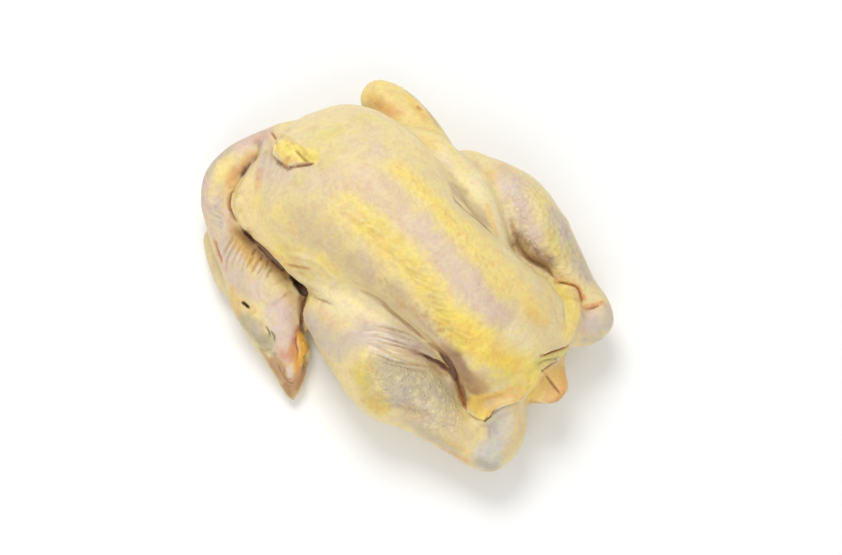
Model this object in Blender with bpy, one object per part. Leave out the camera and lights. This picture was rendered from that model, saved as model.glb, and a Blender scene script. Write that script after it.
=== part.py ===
"""A whole raw chicken lying on its back, in metres, +Z up, +Y towards its head.

The bird is one body: the trunk, the legs with their shanks tucked under the belly skin, the folded
wings, and the neck curled round the bird's right shoulder with the head resting beside the breast.
Each form is lofted along its own bones, the forms are fused by a voxel remesh, and folds are then
pressed into the fused skin. The origin is on the flat of the back that the bird rests on.
"""
import math

import bmesh
import bpy
import numpy as np
from mathutils import Vector

MM = 0.001

# Driving sizes of the bird, in millimetres
BREAST_HALF_WIDTH = 51.0
KEEL_RIDGE = 3.0
KEEL_RIDGE_WIDTH = 9.0

# How finely the forms are fused and how many faces the finished solid keeps
VOXEL = 1.7
SKIN_SMOOTHING = 4
FINISHED_TRIANGLES = 9600

SKIN_COLOUR = (0.86, 0.68, 0.42, 1.0)
SKIN_ROUGHNESS = 0.42


def clear_scene():
    for old in list(bpy.data.objects):
        bpy.data.objects.remove(old)


def through(points, count):
    """Points and sizes read evenly from a smooth curve through the given rows."""
    rows = np.array(points, float)
    steps = np.linalg.norm(np.diff(rows[:, :3], axis=0), axis=1)
    place = np.concatenate([[0.0], np.cumsum(steps)])
    ahead = np.vstack([2 * rows[0] - rows[1], rows, 2 * rows[-1] - rows[-2]])
    found = []
    for at in np.linspace(0.0, place[-1], count):
        i = min(int(np.searchsorted(place, at, side="right")) - 1, len(rows) - 2)
        t = (at - place[i]) / (place[i + 1] - place[i])
        a, b, c, d = ahead[i:i + 4]
        found.append(0.5 * (2 * b + (c - a) * t + (2 * a - 5 * b + 4 * c - d) * t ** 2
                            + (3 * b - a - 3 * c + d) * t ** 3))
    return np.array(found)


def closed_loft(name, rings, first_pole, last_pole):
    """One closed mesh from rings of equal count, with a pole point beyond each end."""
    mesh = bpy.data.meshes.new(name)
    bm = bmesh.new()
    loops = [[bm.verts.new(Vector(p) * MM) for p in ring] for ring in rings]
    for low, high in zip(loops, loops[1:]):
        bmesh.ops.bridge_loops(bm, edges=ring_edges(bm, low) + ring_edges(bm, high))
    for loop, pole in ((loops[0], first_pole), (loops[-1], last_pole)):
        tip = bm.verts.new(Vector(pole) * MM)
        for a, b in zip(loop, loop[1:] + loop[:1]):
            bm.faces.new((a, b, tip))
    bmesh.ops.recalc_face_normals(bm, faces=bm.faces)
    bm.to_mesh(mesh)
    bm.free()
    made = bpy.data.objects.new(name, mesh)
    bpy.context.scene.collection.objects.link(made)
    return made


def ring_edges(bm, loop):
    edges = []
    for a, b in zip(loop, loop[1:] + loop[:1]):
        edges.append(bm.edges.get((a, b)) or bm.edges.new((a, b)))
    return edges


def limb(name, rows, sides=20, count=22, dome=4):
    """A rounded tube through rows of (x, y, z, half width, half height), with domed ends."""
    path = through(rows, count)
    centres, sizes = path[:, :3], np.maximum(path[:, 3:5], 0.4)
    along = np.gradient(centres, axis=0)
    along /= np.linalg.norm(along, axis=1)[:, None]
    rings = []
    for end in (0, -1):
        sign = -1.0 if end == 0 else 1.0
        reach = sizes[end].min()
        rounds = []
        for k in range(1, dome + 1):
            turn = 0.5 * math.pi * k / (dome + 1)
            rounds.append((centres[end] + along[end] * sign * reach * math.sin(turn), along[end],
                           sizes[end] * math.cos(turn)))
        if end == 0:
            rings += rounds[::-1]
            rings += list(zip(centres, along, sizes))
            first_pole = centres[0] - along[0] * reach
        else:
            rings += rounds
            last_pole = centres[-1] + along[-1] * reach
    turns = np.linspace(0.0, 2 * math.pi, sides, endpoint=False)
    loops = []
    for centre, direction, (wide, high) in rings:
        side = np.cross(direction, (0.0, 0.0, 1.0))
        side /= np.linalg.norm(side)
        lift = np.cross(side, direction)
        loops.append([centre + side * wide * math.cos(a) + lift * high * math.sin(a) for a in turns])
    return closed_loft(name, loops, first_pole, last_pole)


def trunk():
    """The ribcage and breast: flat back, round sides and a low ridge along the keel."""
    # Each station is y, keel x, right half width, left half width, top, widest height and bottom
    stations = [
        (113, -4, 14, 13, 58, 47, 36),
        (109, -3, 27, 21, 63, 47, 28),
        (104, -2, 38, 29, 69, 47, 20),
        (96, -2, 46, 35, 76, 48, 10),
        (86, -2, 52, 40, 84, 48, 3),
        (72, -2, 55, 43.5, 91, 48, -1),
        (54, -1.5, 55, 45, 96, 49, -3),
        (36, -1.5, 52, 44, 98, 50, -3),
        (20, -1, 46, 41, 98, 51, -3),
        (4, -0.5, 41, 38, 97.5, 51, -3),
        (-14, 0, 38, 36.5, 95.5, 51, -3),
        (-32, 1, 36, 37, 92, 50, -2),
        (-46, 1.5, 35, 39, 86, 49, 1),
        (-58, 2.5, 37, 39, 79, 47, 5),
        (-70, 3.5, 36, 37, 69, 45, 12),
        (-79, 5, 31, 31, 61, 43, 20),
        (-85, 6, 20, 21, 54, 42, 30),
    ]
    rings = []
    turns = np.linspace(0.0, 2 * math.pi, 96, endpoint=False)
    for y, keel, right, left, top, wide, bottom in through_stations(stations, 44):
        ring = []
        for a in turns:
            c, s = math.cos(a), math.sin(a)
            half = left if c > 0 else right
            across = half * math.copysign(abs(c) ** 0.9, c)
            reach = (top - wide) if s > 0 else (wide - bottom)
            height = wide + reach * math.copysign(abs(s) ** 0.88, s)
            if s > 0:
                height += KEEL_RIDGE * math.exp(-(across / KEEL_RIDGE_WIDTH) ** 2) * (half / BREAST_HALF_WIDTH)
            ring.append((keel + across, y, height))
        rings.append(ring)
    return closed_loft("trunk", rings, (-4, 116, 46), (6, -88, 42))


def through_stations(stations, count):
    """The stations read evenly along y from a smooth curve."""
    rows = np.array([[0.0, s[0], 0.0, *s[1:]] for s in stations])
    found = through(rows, count)
    return found[:, [1, 3, 4, 5, 6, 7, 8]]


def body_forms():
    """Swellings that lie on the trunk: shoulders, flank skin, thigh roots, belly skin and tail."""
    forms = [trunk()]
    forms.append(limb("right_shoulder", [(-34, 104, 44, 10, 12), (-45, 98, 44, 11.5, 15),
                                         (-51, 84, 44, 12, 15), (-51, 66, 44, 12, 15),
                                         (-50, 48, 44, 11, 14), (-46, 34, 44, 11, 13)]))
    forms.append(limb("right_armpit", [(-60, 100, 14, 9, 8), (-62, 78, 13, 9, 9),
                                       (-60, 56, 14, 9, 11), (-60, 38, 14, 9, 10)]))
    forms.append(limb("left_shoulder", [(14, 99, 48, 10, 12), (26, 88, 49, 11, 13),
                                        (32, 70, 50, 11, 13), (34, 52, 50, 10, 12)]))
    forms.append(limb("left_flank", [(41, 62, 42, 11, 13), (44, 46, 50, 12, 15), (47, 28, 54, 8.5, 15),
                                     (46, 12, 56, 7, 15), (41, -4, 57, 6.5, 13), (36, -17, 55, 6, 11)]))
    forms.append(limb("right_flank", [(-47, 44, 44, 10, 10), (-49, 30, 45, 9, 11),
                                      (-46, 14, 47, 8, 11), (-42, -2, 48, 7, 9)]))
    forms.append(limb("right_web", [(-50, 36, 48, 7, 10), (-50, 20, 51, 9, 11), (-47, 4, 52, 9, 11),
                                    (-44, -10, 49, 8, 11), (-42, -24, 44, 6, 9)]))
    forms.append(limb("right_thigh_root", [(-40, 26, 26, 16, 18), (-38, 0, 25, 15, 19),
                                           (-36, -26, 24, 13, 18), (-32, -50, 24, 11, 14)]))
    forms.append(limb("left_thigh_root", [(40, 30, 28, 15, 18), (40, 4, 26, 15, 19),
                                          (38, -22, 25, 13, 18), (36, -44, 25, 12, 14)]))
    forms.append(limb("right_belly", [(-24, -34, 30, 16, 20), (-26, -56, 32, 14, 17),
                                      (-29, -74, 33, 11, 12), (-31, -85, 32, 8, 8)]))
    forms.append(limb("left_belly", [(30, -34, 30, 15, 20), (34, -54, 32, 13, 17),
                                     (37, -69, 36, 10, 12), (38, -76, 39, 8, 8)]))
    forms.append(limb("belly_rim", [(-37, -82, 39, 3, 3.5), (-31, -81, 43, 4, 5), (-17, -84, 46, 5, 6),
                                    (2, -84, 49, 5, 7), (18, -80, 50, 5, 7), (31, -77, 49, 6, 8),
                                    (42, -70, 46, 6, 7)]))
    forms.append(limb("tail", [(7, -62, 30, 22, 16), (6, -76, 32, 20, 12), (5, -88, 34, 17, 8),
                               (6, -98, 35, 9.5, 5)]))
    return forms


def legs():
    """Each leg runs from the knee by the wing back to the hock, then its shank tucks in."""
    right = [(-57, 20, 35, 17, 18), (-57, 8, 35, 20.5, 23), (-57, -6, 34, 22.5, 27),
             (-57, -20, 33, 25, 29), (-55.5, -33, 31, 25.5, 27), (-52, -44, 30, 22.5, 24),
             (-50.5, -56, 29.5, 19.5, 20), (-50, -68, 28.5, 16, 16.5), (-49, -80, 27, 12.5, 13.5),
             (-48, -90, 26, 11, 12), (-44, -97, 26, 11, 12)]
    right_shank = [(-44, -97, 26, 11, 12), (-34, -97, 29, 11, 11), (-25, -92, 34, 10.5, 10),
                   (-18, -84, 39, 9.5, 9)]
    left = [(54, 29, 38, 14.5, 16), (57, 14, 37, 18.5, 22), (60, -4, 36, 21, 26),
            (58.5, -22, 35, 20, 26), (56, -38, 33, 18.5, 22), (55, -50, 31, 16, 18),
            (54.5, -62, 29, 13, 14.5), (55, -73, 28, 11.5, 12), (52, -81, 28, 11, 11.5)]
    left_shank = [(52, -81, 28, 11, 11.5), (44, -81.5, 31, 10.5, 10.5), (35, -78, 36, 9, 9),
                  (24, -72, 40, 9, 8)]
    return [limb("right_leg", right, 28, 36), limb("right_shank", right_shank),
            limb("left_leg", left, 28, 34), limb("left_shank", left_shank)]


def wings():
    """Each wing is folded: the elbow is by the knee, the wrist points forward, the hand lies below."""
    left_arm = [(26, 84, 40, 12, 13), (38, 64, 37, 12, 13), (47, 44, 33, 11, 13)]
    left = [(47, 42, 31, 12, 14), (50, 58, 28, 13.5, 14), (52.5, 78, 26, 14, 13),
            (52, 94, 25, 13.5, 12), (50, 102, 25, 11.5, 11)]
    left_hand = [(50, 101, 15, 10, 9), (53, 86, 11, 13, 9), (52, 66, 9, 11, 8), (49, 48, 7, 6, 6),
                 (47, 36, 6, 2.5, 4)]
    right_arm = [(-34, 84, 34, 12, 13), (-46, 64, 30, 12, 13), (-54, 44, 24, 11, 12)]
    right = [(-60, 30, 14, 10, 10), (-64, 42, 16, 13, 12), (-72, 58, 15, 16, 11),
             (-78.5, 76, 12.5, 16, 10.5), (-76.5, 92, 12, 13, 10), (-74, 102, 12, 10.5, 9.5)]
    right_hand = [(-72, 98, 8, 9, 7), (-69, 78, 6, 12, 7), (-62, 60, 6, 10, 7), (-55, 42, 5, 4, 5)]
    return [limb("left_arm", left_arm), limb("left_wing", left), limb("left_hand", left_hand),
            limb("right_arm", right_arm), limb("right_wing", right), limb("right_hand", right_hand)]


def neck_and_head():
    """The neck leaves the front of the breast, turns right and lies back along the body."""
    collar = [(14, 99, 46, 10, 12), (2, 105, 44, 10, 12), (-10, 109, 42, 10, 12), (-20, 112, 40, 9, 11)]
    web = [(-30, 104, 38, 9, 14), (-40, 108, 32, 9, 12), (-50, 106, 30, 7, 11), (-58, 98, 28, 6, 10)]
    neck = [(-2, 104, 44, 13, 14), (-12, 113, 39, 12, 13), (-23, 119, 35, 11.5, 12),
            (-35, 124, 32, 11, 11.5), (-46, 125, 30, 10.5, 11), (-54.5, 122.5, 29, 10, 11),
            (-61, 117, 28, 9.5, 11), (-66, 110, 28, 9, 11), (-70, 102, 28, 9, 11),
            (-73, 92, 28, 10.5, 11.5), (-75, 80, 27, 12.5, 12.5), (-78, 68, 24, 15, 13.5)]
    head = [(-78, 68, 24, 15, 13.5), (-80.5, 59, 20.5, 16.8, 14.2), (-82.5, 49, 17, 17.2, 14.6),
            (-85, 38, 14.6, 16.2, 14.2), (-89, 27, 12.5, 13.6, 12), (-93.5, 18, 10, 10.8, 9.6),
            (-98.5, 10, 8, 7.4, 7), (-103.3, 4.8, 6.5, 3.5, 4)]
    wattle = [(-78.5, 31, 14, 4, 5), (-79, 22, 11, 4.6, 5.5), (-83, 15, 8, 3.2, 4)]
    throat = [(-65, 94, 27, 4, 8), (-66.5, 82, 28, 6, 9), (-68.5, 69, 28, 7.5, 9),
              (-70, 57, 26, 8.5, 9.5), (-71, 47, 23, 8, 9), (-73, 37, 18, 6.5, 8)]
    return [limb("collar", collar), limb("web", web), limb("neck", neck, 24, 46),
            limb("head", head, 28, 34), limb("throat", throat), limb("wattle", wattle, 12, 10)]


def crop_fat():
    """The lobed lump of fat at the slit in front of the breast, with its thumb-like lobe."""
    lump = [(-22, 106, 65, 5, 4), (-21, 98, 73, 7.5, 5.5), (-18, 91, 79, 6.5, 5)]
    thumb = [(-12, 102, 70, 5, 4), (-10, 93, 78, 5, 4.5), (-11, 84, 84.5, 4.5, 4)]
    return [limb("crop_fat", lump, 14, 12), limb("crop_fat_thumb", thumb, 14, 12)]


def folds():
    """Lines on the skin as (points, width, depth); a negative depth is a raised strand."""
    right_crease = [(-43, 16, 70), (-39, 2, 70), (-37, -10, 67), (-35, -24, 66), (-34, -33, 64),
                    (-32, -43, 62), (-32, -51, 58), (-34, -58, 50), (-37, -66, 42), (-40, -73, 39)]
    left_crease = [(50, -1, 59), (48, -6, 59), (46, -14, 58), (44, -21, 55), (43, -28, 51),
                   (44, -37, 49), (46, -45, 49), (48, -55, 46), (51, -64, 43), (51, -71, 40),
                   (55, -77, 39)]
    flank = [(37, 31, 72), (33, 21, 79), (30, 11, 82), (30, 1, 81), (31, -7, 78), (33, -15, 74)]
    shoulder_high = [(-61, 57, 51), (-58, 50, 54), (-55, 45, 58), (-52, 38, 62)]
    shoulder_low = [(-60, 32, 46), (-60, 28, 50), (-57, 22, 53), (-54, 17, 55)]
    gap = [(-62, 97, 35), (-62.5, 89, 34), (-62, 80, 36), (-61.5, 70, 37), (-61, 60, 37),
           (-60.5, 50, 36), (-61, 42, 33), (-64, 33, 27)]
    slit = [(-28, 104, 66), (-29, 95, 72), (-27, 90, 76), (-24, 86, 79), (-19, 81, 84), (-14, 77, 88)]
    strand = [(-19, 118, 50), (-26, 114, 49), (-33, 107, 54), (-38, 101, 59), (-43, 97, 61)]
    furrow = [(-74, -42, 44), (-67, -49, 47), (-63, -55, 46), (-59, -62, 45), (-55, -72, 43)]
    leg_fold = [(-44, -23, 58), (-40, -31, 55), (-36, -38, 53), (-34, -46, 55)]
    tail_fold = [(4, -87, 50), (6, -92, 42), (6, -97, 40), (6, -102, 37)]
    vent = [(9, -84, 54), (15, -83, 54), (21, -83, 53), (26, -84, 51)]
    return [(right_crease, 3.5, 2.5), (left_crease, 3.0, 2.0), (flank, 2.5, 1.6),
            (gap, 2.6, 4.0), (shoulder_high, 2.2, 1.4), (shoulder_low, 2.2, 1.6), (slit, 2.2, 2.2),
            (strand, 3.0, -2.2), (furrow, 4.0, 1.6), (leg_fold, 3.0, 1.6),
            (tail_fold, 2.0, 1.4), (vent, 2.0, 1.6)]


def face_marks():
    """The ear slit, the closed eye and the gape, in the same form as the folds."""
    ear = [(-91, 59, 32), (-90, 56, 33), (-90, 53, 32)]
    eye = [(-95, 43, 28), (-94, 39, 28), (-95, 35, 26)]
    eyelid = [(-90, 43, 30), (-88, 39, 29), (-89, 34, 27), (-91, 30, 25)]
    gape = [(-99, 28, 21), (-100, 23, 19), (-100, 17, 17), (-101, 12, 15), (-100, 9, 14)]
    return [(ear, 2.2, 1.6), (eye, 5.0, -1.6), (eyelid, 1.8, 0.9), (gape, 1.7, 0.7)]


def fuse(name, forms):
    """The forms joined into one object and remeshed into a single closed skin."""
    for other in bpy.data.objects:
        other.select_set(other in forms)
    bpy.context.view_layer.objects.active = forms[0]
    bpy.ops.object.join()
    body = forms[0]
    body.name = name
    body.data.name = name
    remesh = body.modifiers.new("fuse", "REMESH")
    remesh.mode = "VOXEL"
    remesh.voxel_size = VOXEL * MM
    smooth = body.modifiers.new("soften", "SMOOTH")
    smooth.factor = 0.5
    smooth.iterations = SKIN_SMOOTHING
    bake_modifiers(body)
    return body


def keep_outer_skin(body):
    """Drops any closed pocket left inside, keeping the connected skin with the most faces."""
    bm = bmesh.new()
    bm.from_mesh(body.data)
    unseen = set(bm.verts)
    shells = []
    while unseen:
        shell, edge_of_shell = set(), [unseen.pop()]
        while edge_of_shell:
            vert = edge_of_shell.pop()
            shell.add(vert)
            near = {e.other_vert(vert) for e in vert.link_edges} & unseen
            unseen -= near
            edge_of_shell += near
        shells.append(shell)
    shells.sort(key=len)
    for shell in shells[:-1]:
        bmesh.ops.delete(bm, geom=list(shell), context="VERTS")
    bm.to_mesh(body.data)
    bm.free()


def bake_modifiers(body):
    """Makes the evaluated shape the object's own mesh."""
    graph = bpy.context.evaluated_depsgraph_get()
    shape = bpy.data.meshes.new_from_object(body.evaluated_get(graph))
    old = body.data
    body.modifiers.clear()
    body.data = shape
    shape.name = body.name
    bpy.data.meshes.remove(old)


def press_fold(body, points, width, depth):
    """Pushes the skin in along a smooth line through points, or out where depth is negative."""
    line = through([(*p, 0.0) for p in points], 60)[:, :3] * MM
    mesh = body.data
    count = len(mesh.vertices)
    places = np.empty(count * 3)
    mesh.vertices.foreach_get("co", places)
    places = places.reshape(-1, 3)
    normals = np.empty(count * 3)
    mesh.vertices.foreach_get("normal", normals)
    normals = normals.reshape(-1, 3)
    away = np.full(count, 1e9)
    for point in line:
        away = np.minimum(away, np.linalg.norm(places - point, axis=1))
    push = depth * MM * np.exp(-(away / (width * MM)) ** 2)
    places -= normals * push[:, None]
    mesh.vertices.foreach_set("co", places.ravel())
    mesh.update()


def rest_on_table(body):
    """Cuts the underside flat at z = 0, so the bird rests on its back and wings."""
    bm = bmesh.new()
    bm.from_mesh(body.data)
    everything = bm.verts[:] + bm.edges[:] + bm.faces[:]
    cut = bmesh.ops.bisect_plane(bm, geom=everything, plane_co=(0, 0, 0), plane_no=(0, 0, 1),
                                 clear_inner=True)
    rim = [e for e in cut["geom_cut"] if isinstance(e, bmesh.types.BMEdge)]
    bmesh.ops.holes_fill(bm, edges=rim)
    bmesh.ops.triangulate(bm, faces=bm.faces)
    bmesh.ops.recalc_face_normals(bm, faces=bm.faces)
    bm.to_mesh(body.data)
    bm.free()


def thin_out(body):
    """Drops faces where the skin is smooth, down to the finished count."""
    body.data.calc_loop_triangles()
    thin = body.modifiers.new("thin", "DECIMATE")
    thin.ratio = FINISHED_TRIANGLES / len(body.data.loop_triangles)
    bake_modifiers(body)


def skin_material():
    material = bpy.data.materials.new("skin")
    material.use_nodes = True
    shader = material.node_tree.nodes["Principled BSDF"]
    shader.inputs["Base Color"].default_value = SKIN_COLOUR
    shader.inputs["Roughness"].default_value = SKIN_ROUGHNESS
    shader.inputs["Metallic"].default_value = 0.0
    return material


def main():
    clear_scene()
    forms = body_forms() + legs() + wings() + neck_and_head() + crop_fat()
    chicken = fuse("raw_chicken", forms)
    keep_outer_skin(chicken)
    for points, width, depth in folds() + face_marks():
        press_fold(chicken, points, width, depth)
    chicken.modifiers.new("settle", "SMOOTH").iterations = 1
    bake_modifiers(chicken)
    thin_out(chicken)
    rest_on_table(chicken)
    chicken.data.materials.clear()
    chicken.data.materials.append(skin_material())
    chicken.data.shade_smooth()


main()
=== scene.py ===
# %% [markdown]
# A whole raw chicken lies on its back, plucked, with its neck curled round its right shoulder. All of
# it is one continuous skin, so the whole bird is one mesh here. The lesson goes from the plain packed
# solid to a skin with folds, follicles and a face, and then paints and finishes that skin.
#
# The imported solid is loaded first. It gives the size and the place of everything that follows.

import math
import random

import bmesh
import bpy
import numpy as np
from mathutils import Matrix, Vector, noise
from mathutils.bvhtree import BVHTree


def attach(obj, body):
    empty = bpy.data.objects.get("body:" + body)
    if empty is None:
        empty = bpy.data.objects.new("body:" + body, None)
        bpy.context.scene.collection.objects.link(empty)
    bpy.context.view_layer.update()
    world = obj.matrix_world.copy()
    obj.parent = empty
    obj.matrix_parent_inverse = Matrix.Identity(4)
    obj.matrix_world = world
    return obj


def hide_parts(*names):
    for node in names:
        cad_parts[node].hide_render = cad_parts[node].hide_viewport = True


MM = 0.001
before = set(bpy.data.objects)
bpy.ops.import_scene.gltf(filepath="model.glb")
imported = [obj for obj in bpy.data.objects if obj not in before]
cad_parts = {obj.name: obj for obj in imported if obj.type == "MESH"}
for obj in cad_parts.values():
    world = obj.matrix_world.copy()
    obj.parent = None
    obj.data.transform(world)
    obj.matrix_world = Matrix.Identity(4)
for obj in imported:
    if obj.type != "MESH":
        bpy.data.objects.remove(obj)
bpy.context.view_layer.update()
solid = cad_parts["raw_chicken"]

# %% [markdown]
# The photograph was taken from high above the bird's right hip, so the body runs from the upper left
# of the picture to the lower right. The camera comes first, because marks on the skin are easiest to
# name where they are seen: a place in the picture is sent out along the camera's line of sight, and
# the mark goes where that line meets the skin.

# %% Set up the camera
PHOTO_WIDTH, PHOTO_HEIGHT = 842, 555
VIEW_AZIMUTH, VIEW_ELEVATION = math.radians(-42), math.radians(75)
VIEW_DISTANCE = 1.0
VIEW_CENTRE = Vector((-0.008, 0.0, 0.045))
PIXEL_AT_BIRD = 0.56 * MM
SENSOR_WIDTH = 36.0

toward_camera = Vector((math.sin(VIEW_AZIMUTH) * math.cos(VIEW_ELEVATION),
                        -math.cos(VIEW_AZIMUTH) * math.cos(VIEW_ELEVATION),
                        math.sin(VIEW_ELEVATION)))
picture_right = Vector((math.cos(VIEW_AZIMUTH), math.sin(VIEW_AZIMUTH), 0.0))
picture_up = toward_camera.cross(picture_right)
eye_point = VIEW_CENTRE + toward_camera * VIEW_DISTANCE

camera = bpy.data.objects.new("camera", bpy.data.cameras.new("camera"))
bpy.context.scene.collection.objects.link(camera)
turn = Matrix((picture_right, picture_up, toward_camera)).transposed()
camera.matrix_world = Matrix.Translation(eye_point) @ turn.to_4x4()
camera.data.sensor_width = SENSOR_WIDTH
camera.data.lens = SENSOR_WIDTH * VIEW_DISTANCE / (PHOTO_WIDTH * PIXEL_AT_BIRD)
bpy.context.scene.camera = camera
print("lens", round(camera.data.lens, 1), "mm")


def line_of_sight(x, y):
    """The direction from the camera through a place in the picture."""
    across = (x - PHOTO_WIDTH / 2) * PIXEL_AT_BIRD
    above = (PHOTO_HEIGHT / 2 - y) * PIXEL_AT_BIRD
    return (picture_right * across + picture_up * above - toward_camera * VIEW_DISTANCE).normalized()


# %% [markdown]
# The solid is made of flat facets of many sizes, and folds need small, even faces to bend. Cutting
# up the facets would keep their uneven shapes, so a voxel remesh lays a new, even grid over the whole
# bird in one step. What is left of the facets is then relaxed away by averaging each point with its
# neighbours a few times.

# %% Remesh the solid and relax its facets
SKIN_VOXEL = 2.0 * MM
RELAX_ROUNDS = 6

chicken = bpy.data.objects.new("chicken", solid.data.copy())
bpy.context.scene.collection.objects.link(chicken)
chicken.data.materials.clear()


def keep_modifiers(piece):
    """Makes the evaluated shape the piece's own mesh."""
    graph = bpy.context.evaluated_depsgraph_get()
    shaped = bpy.data.meshes.new_from_object(piece.evaluated_get(graph))
    piece.modifiers.clear()
    old = piece.data
    piece.data = shaped
    bpy.data.meshes.remove(old)
    shaped.name = piece.name


def relax(piece, rounds, strength=0.5):
    """Averages each point with its neighbours, a number of times."""
    smooth = piece.modifiers.new("relax", "SMOOTH")
    smooth.factor = strength
    smooth.iterations = rounds
    keep_modifiers(piece)


grid = chicken.modifiers.new("grid", "REMESH")
grid.mode = "VOXEL"
grid.voxel_size = SKIN_VOXEL
keep_modifiers(chicken)
relax(chicken, RELAX_ROUNDS)
print("even skin:", len(chicken.data.polygons), "faces")

# %% [markdown]
# Folds, wrinkles and patches of colour all follow lines on the bird. A line is given by a few places
# only, and a Catmull-Rom curve fills in the rest, because it passes through every place given.


# %% Smooth lines through a few places
def curve(points, count):
    """A Catmull-Rom curve through points of any dimension, read at a number of even steps."""
    rows = np.array(points, float)
    lengths = np.linalg.norm(np.diff(rows, axis=0), axis=1)
    place = np.concatenate([[0.0], np.cumsum(lengths)])
    ahead = np.vstack([2 * rows[0] - rows[1], rows, 2 * rows[-1] - rows[-2]])
    found = []
    for at in np.linspace(0.0, place[-1], count):
        i = min(int(np.searchsorted(place, at, side="right")) - 1, len(rows) - 2)
        t = (at - place[i]) / (place[i + 1] - place[i])
        a, b, c, d = ahead[i:i + 4]
        found.append(0.5 * (2 * b + (c - a) * t + (2 * a - 5 * b + 4 * c - d) * t ** 2
                            + (3 * b - a - 3 * c + d) * t ** 3))
    return np.array(found)


def smooth_line(points, spacing):
    """The curve through the points, with a place about every spacing. One point stays one place."""
    if len(points) == 1:
        return np.array(points, float)
    length = np.linalg.norm(np.diff(np.array(points, float), axis=0), axis=1).sum()
    return curve(points, max(2, int(math.ceil(length / spacing)) + 1))


def fade(x):
    """A smooth step from 0 to 1."""
    x = np.clip(x, 0.0, 1.0)
    return x * x * (3 - 2 * x)


print("a curve through three places:", curve([(0, 0), (10, 5), (20, 0)], 5).round(1).tolist())

# %% [markdown]
# A sculptor pushes clay with a brush along a line. It could be done by hand here too, but in code a
# fold can be measured, moved and made again. So the skin is read into arrays, a line is laid on it,
# and the points near the line move out or in by an amount that fades with distance. Lines come as
# places in the picture, for what the photograph shows, or as millimetres on the body, for the sides
# that it doesn't.


# %% A skin that lines can be laid on
class Clay:
    """The skin as arrays of places and normals, with a tree that lines are laid on."""

    PICTURE_STEP, BODY_STEP = 1.5, 0.8

    def __init__(self, piece):
        self.piece = piece
        self.read()

    def read(self):
        """Takes the places, the normals and a new tree from the mesh."""
        mesh = self.piece.data
        self.places = np.empty(len(mesh.vertices) * 3)
        mesh.vertices.foreach_get("co", self.places)
        self.places = self.places.reshape(-1, 3)
        self.normals = np.empty(len(mesh.vertices) * 3)
        mesh.vertices.foreach_get("normal", self.normals)
        self.normals = self.normals.reshape(-1, 3)
        corners = [p.vertices[:] for p in mesh.polygons]
        self.tree = BVHTree.FromPolygons(self.places.tolist(), corners)

    def write(self):
        """Puts the moved places back on the mesh, and reads the new normals."""
        self.piece.data.vertices.foreach_set("co", self.places.ravel())
        self.piece.data.update()
        self.read()

    def lay(self, points):
        """A line of picture places, or of millimetres on the body, as places and normals on the skin."""
        hits = []
        if len(points[0]) == 2:
            for x, y in smooth_line(points, self.PICTURE_STEP):
                hits.append(self.tree.ray_cast(eye_point, line_of_sight(x, y)))
        else:
            for place in smooth_line(points, self.BODY_STEP):
                hits.append(self.tree.find_nearest(Vector(place) * MM))
        hits = [hit for hit in hits if hit[0] is not None]
        return np.array([hit[0][:] for hit in hits]), np.array([hit[1][:] for hit in hits])

    def around(self, line, reach):
        """The points within reach of a laid line: which, how far, on which side, how far along."""
        on, up = line
        low, high = on.min(axis=0) - reach, on.max(axis=0) + reach
        near = np.nonzero(((self.places > low) & (self.places < high)).all(axis=1))[0]
        offsets = self.places[near][:, None, :] - on[None, :, :]
        distances = np.linalg.norm(offsets, axis=2)
        closest = distances.argmin(axis=1)
        away = distances[np.arange(len(near)), closest]
        kept = away < reach
        near, closest, away = near[kept], closest[kept], away[kept]
        offset = self.places[near] - on[closest]
        along = np.gradient(on, axis=0) if len(on) > 1 else np.zeros_like(on)
        across = np.cross(along, up)
        across /= np.linalg.norm(across, axis=1)[:, None] + 1e-12
        side = (offset * across[closest]).sum(axis=1)
        facing = fade(((self.normals[near] * up[closest]).sum(axis=1) + 0.2) / 0.6)
        travelled = closest / max(1, len(on) - 1)
        return near, away, side, travelled, facing, closest


clay = Clay(chicken)
print("points of skin:", len(clay.places))

# %% [markdown]
# Small forms need small faces. Each zone below is a line on the bird, a reach round it, and the face
# size that its wrinkles and lobes ask for: about a millimetre over the breast and legs, and half of
# that round the eye and ear. Faces that are too large there are subdivided, and the rest stay.

# %% Name the zones with fine forms
WRINKLE_FACES, CREASE_FACES = 0.9, 0.45
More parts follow.
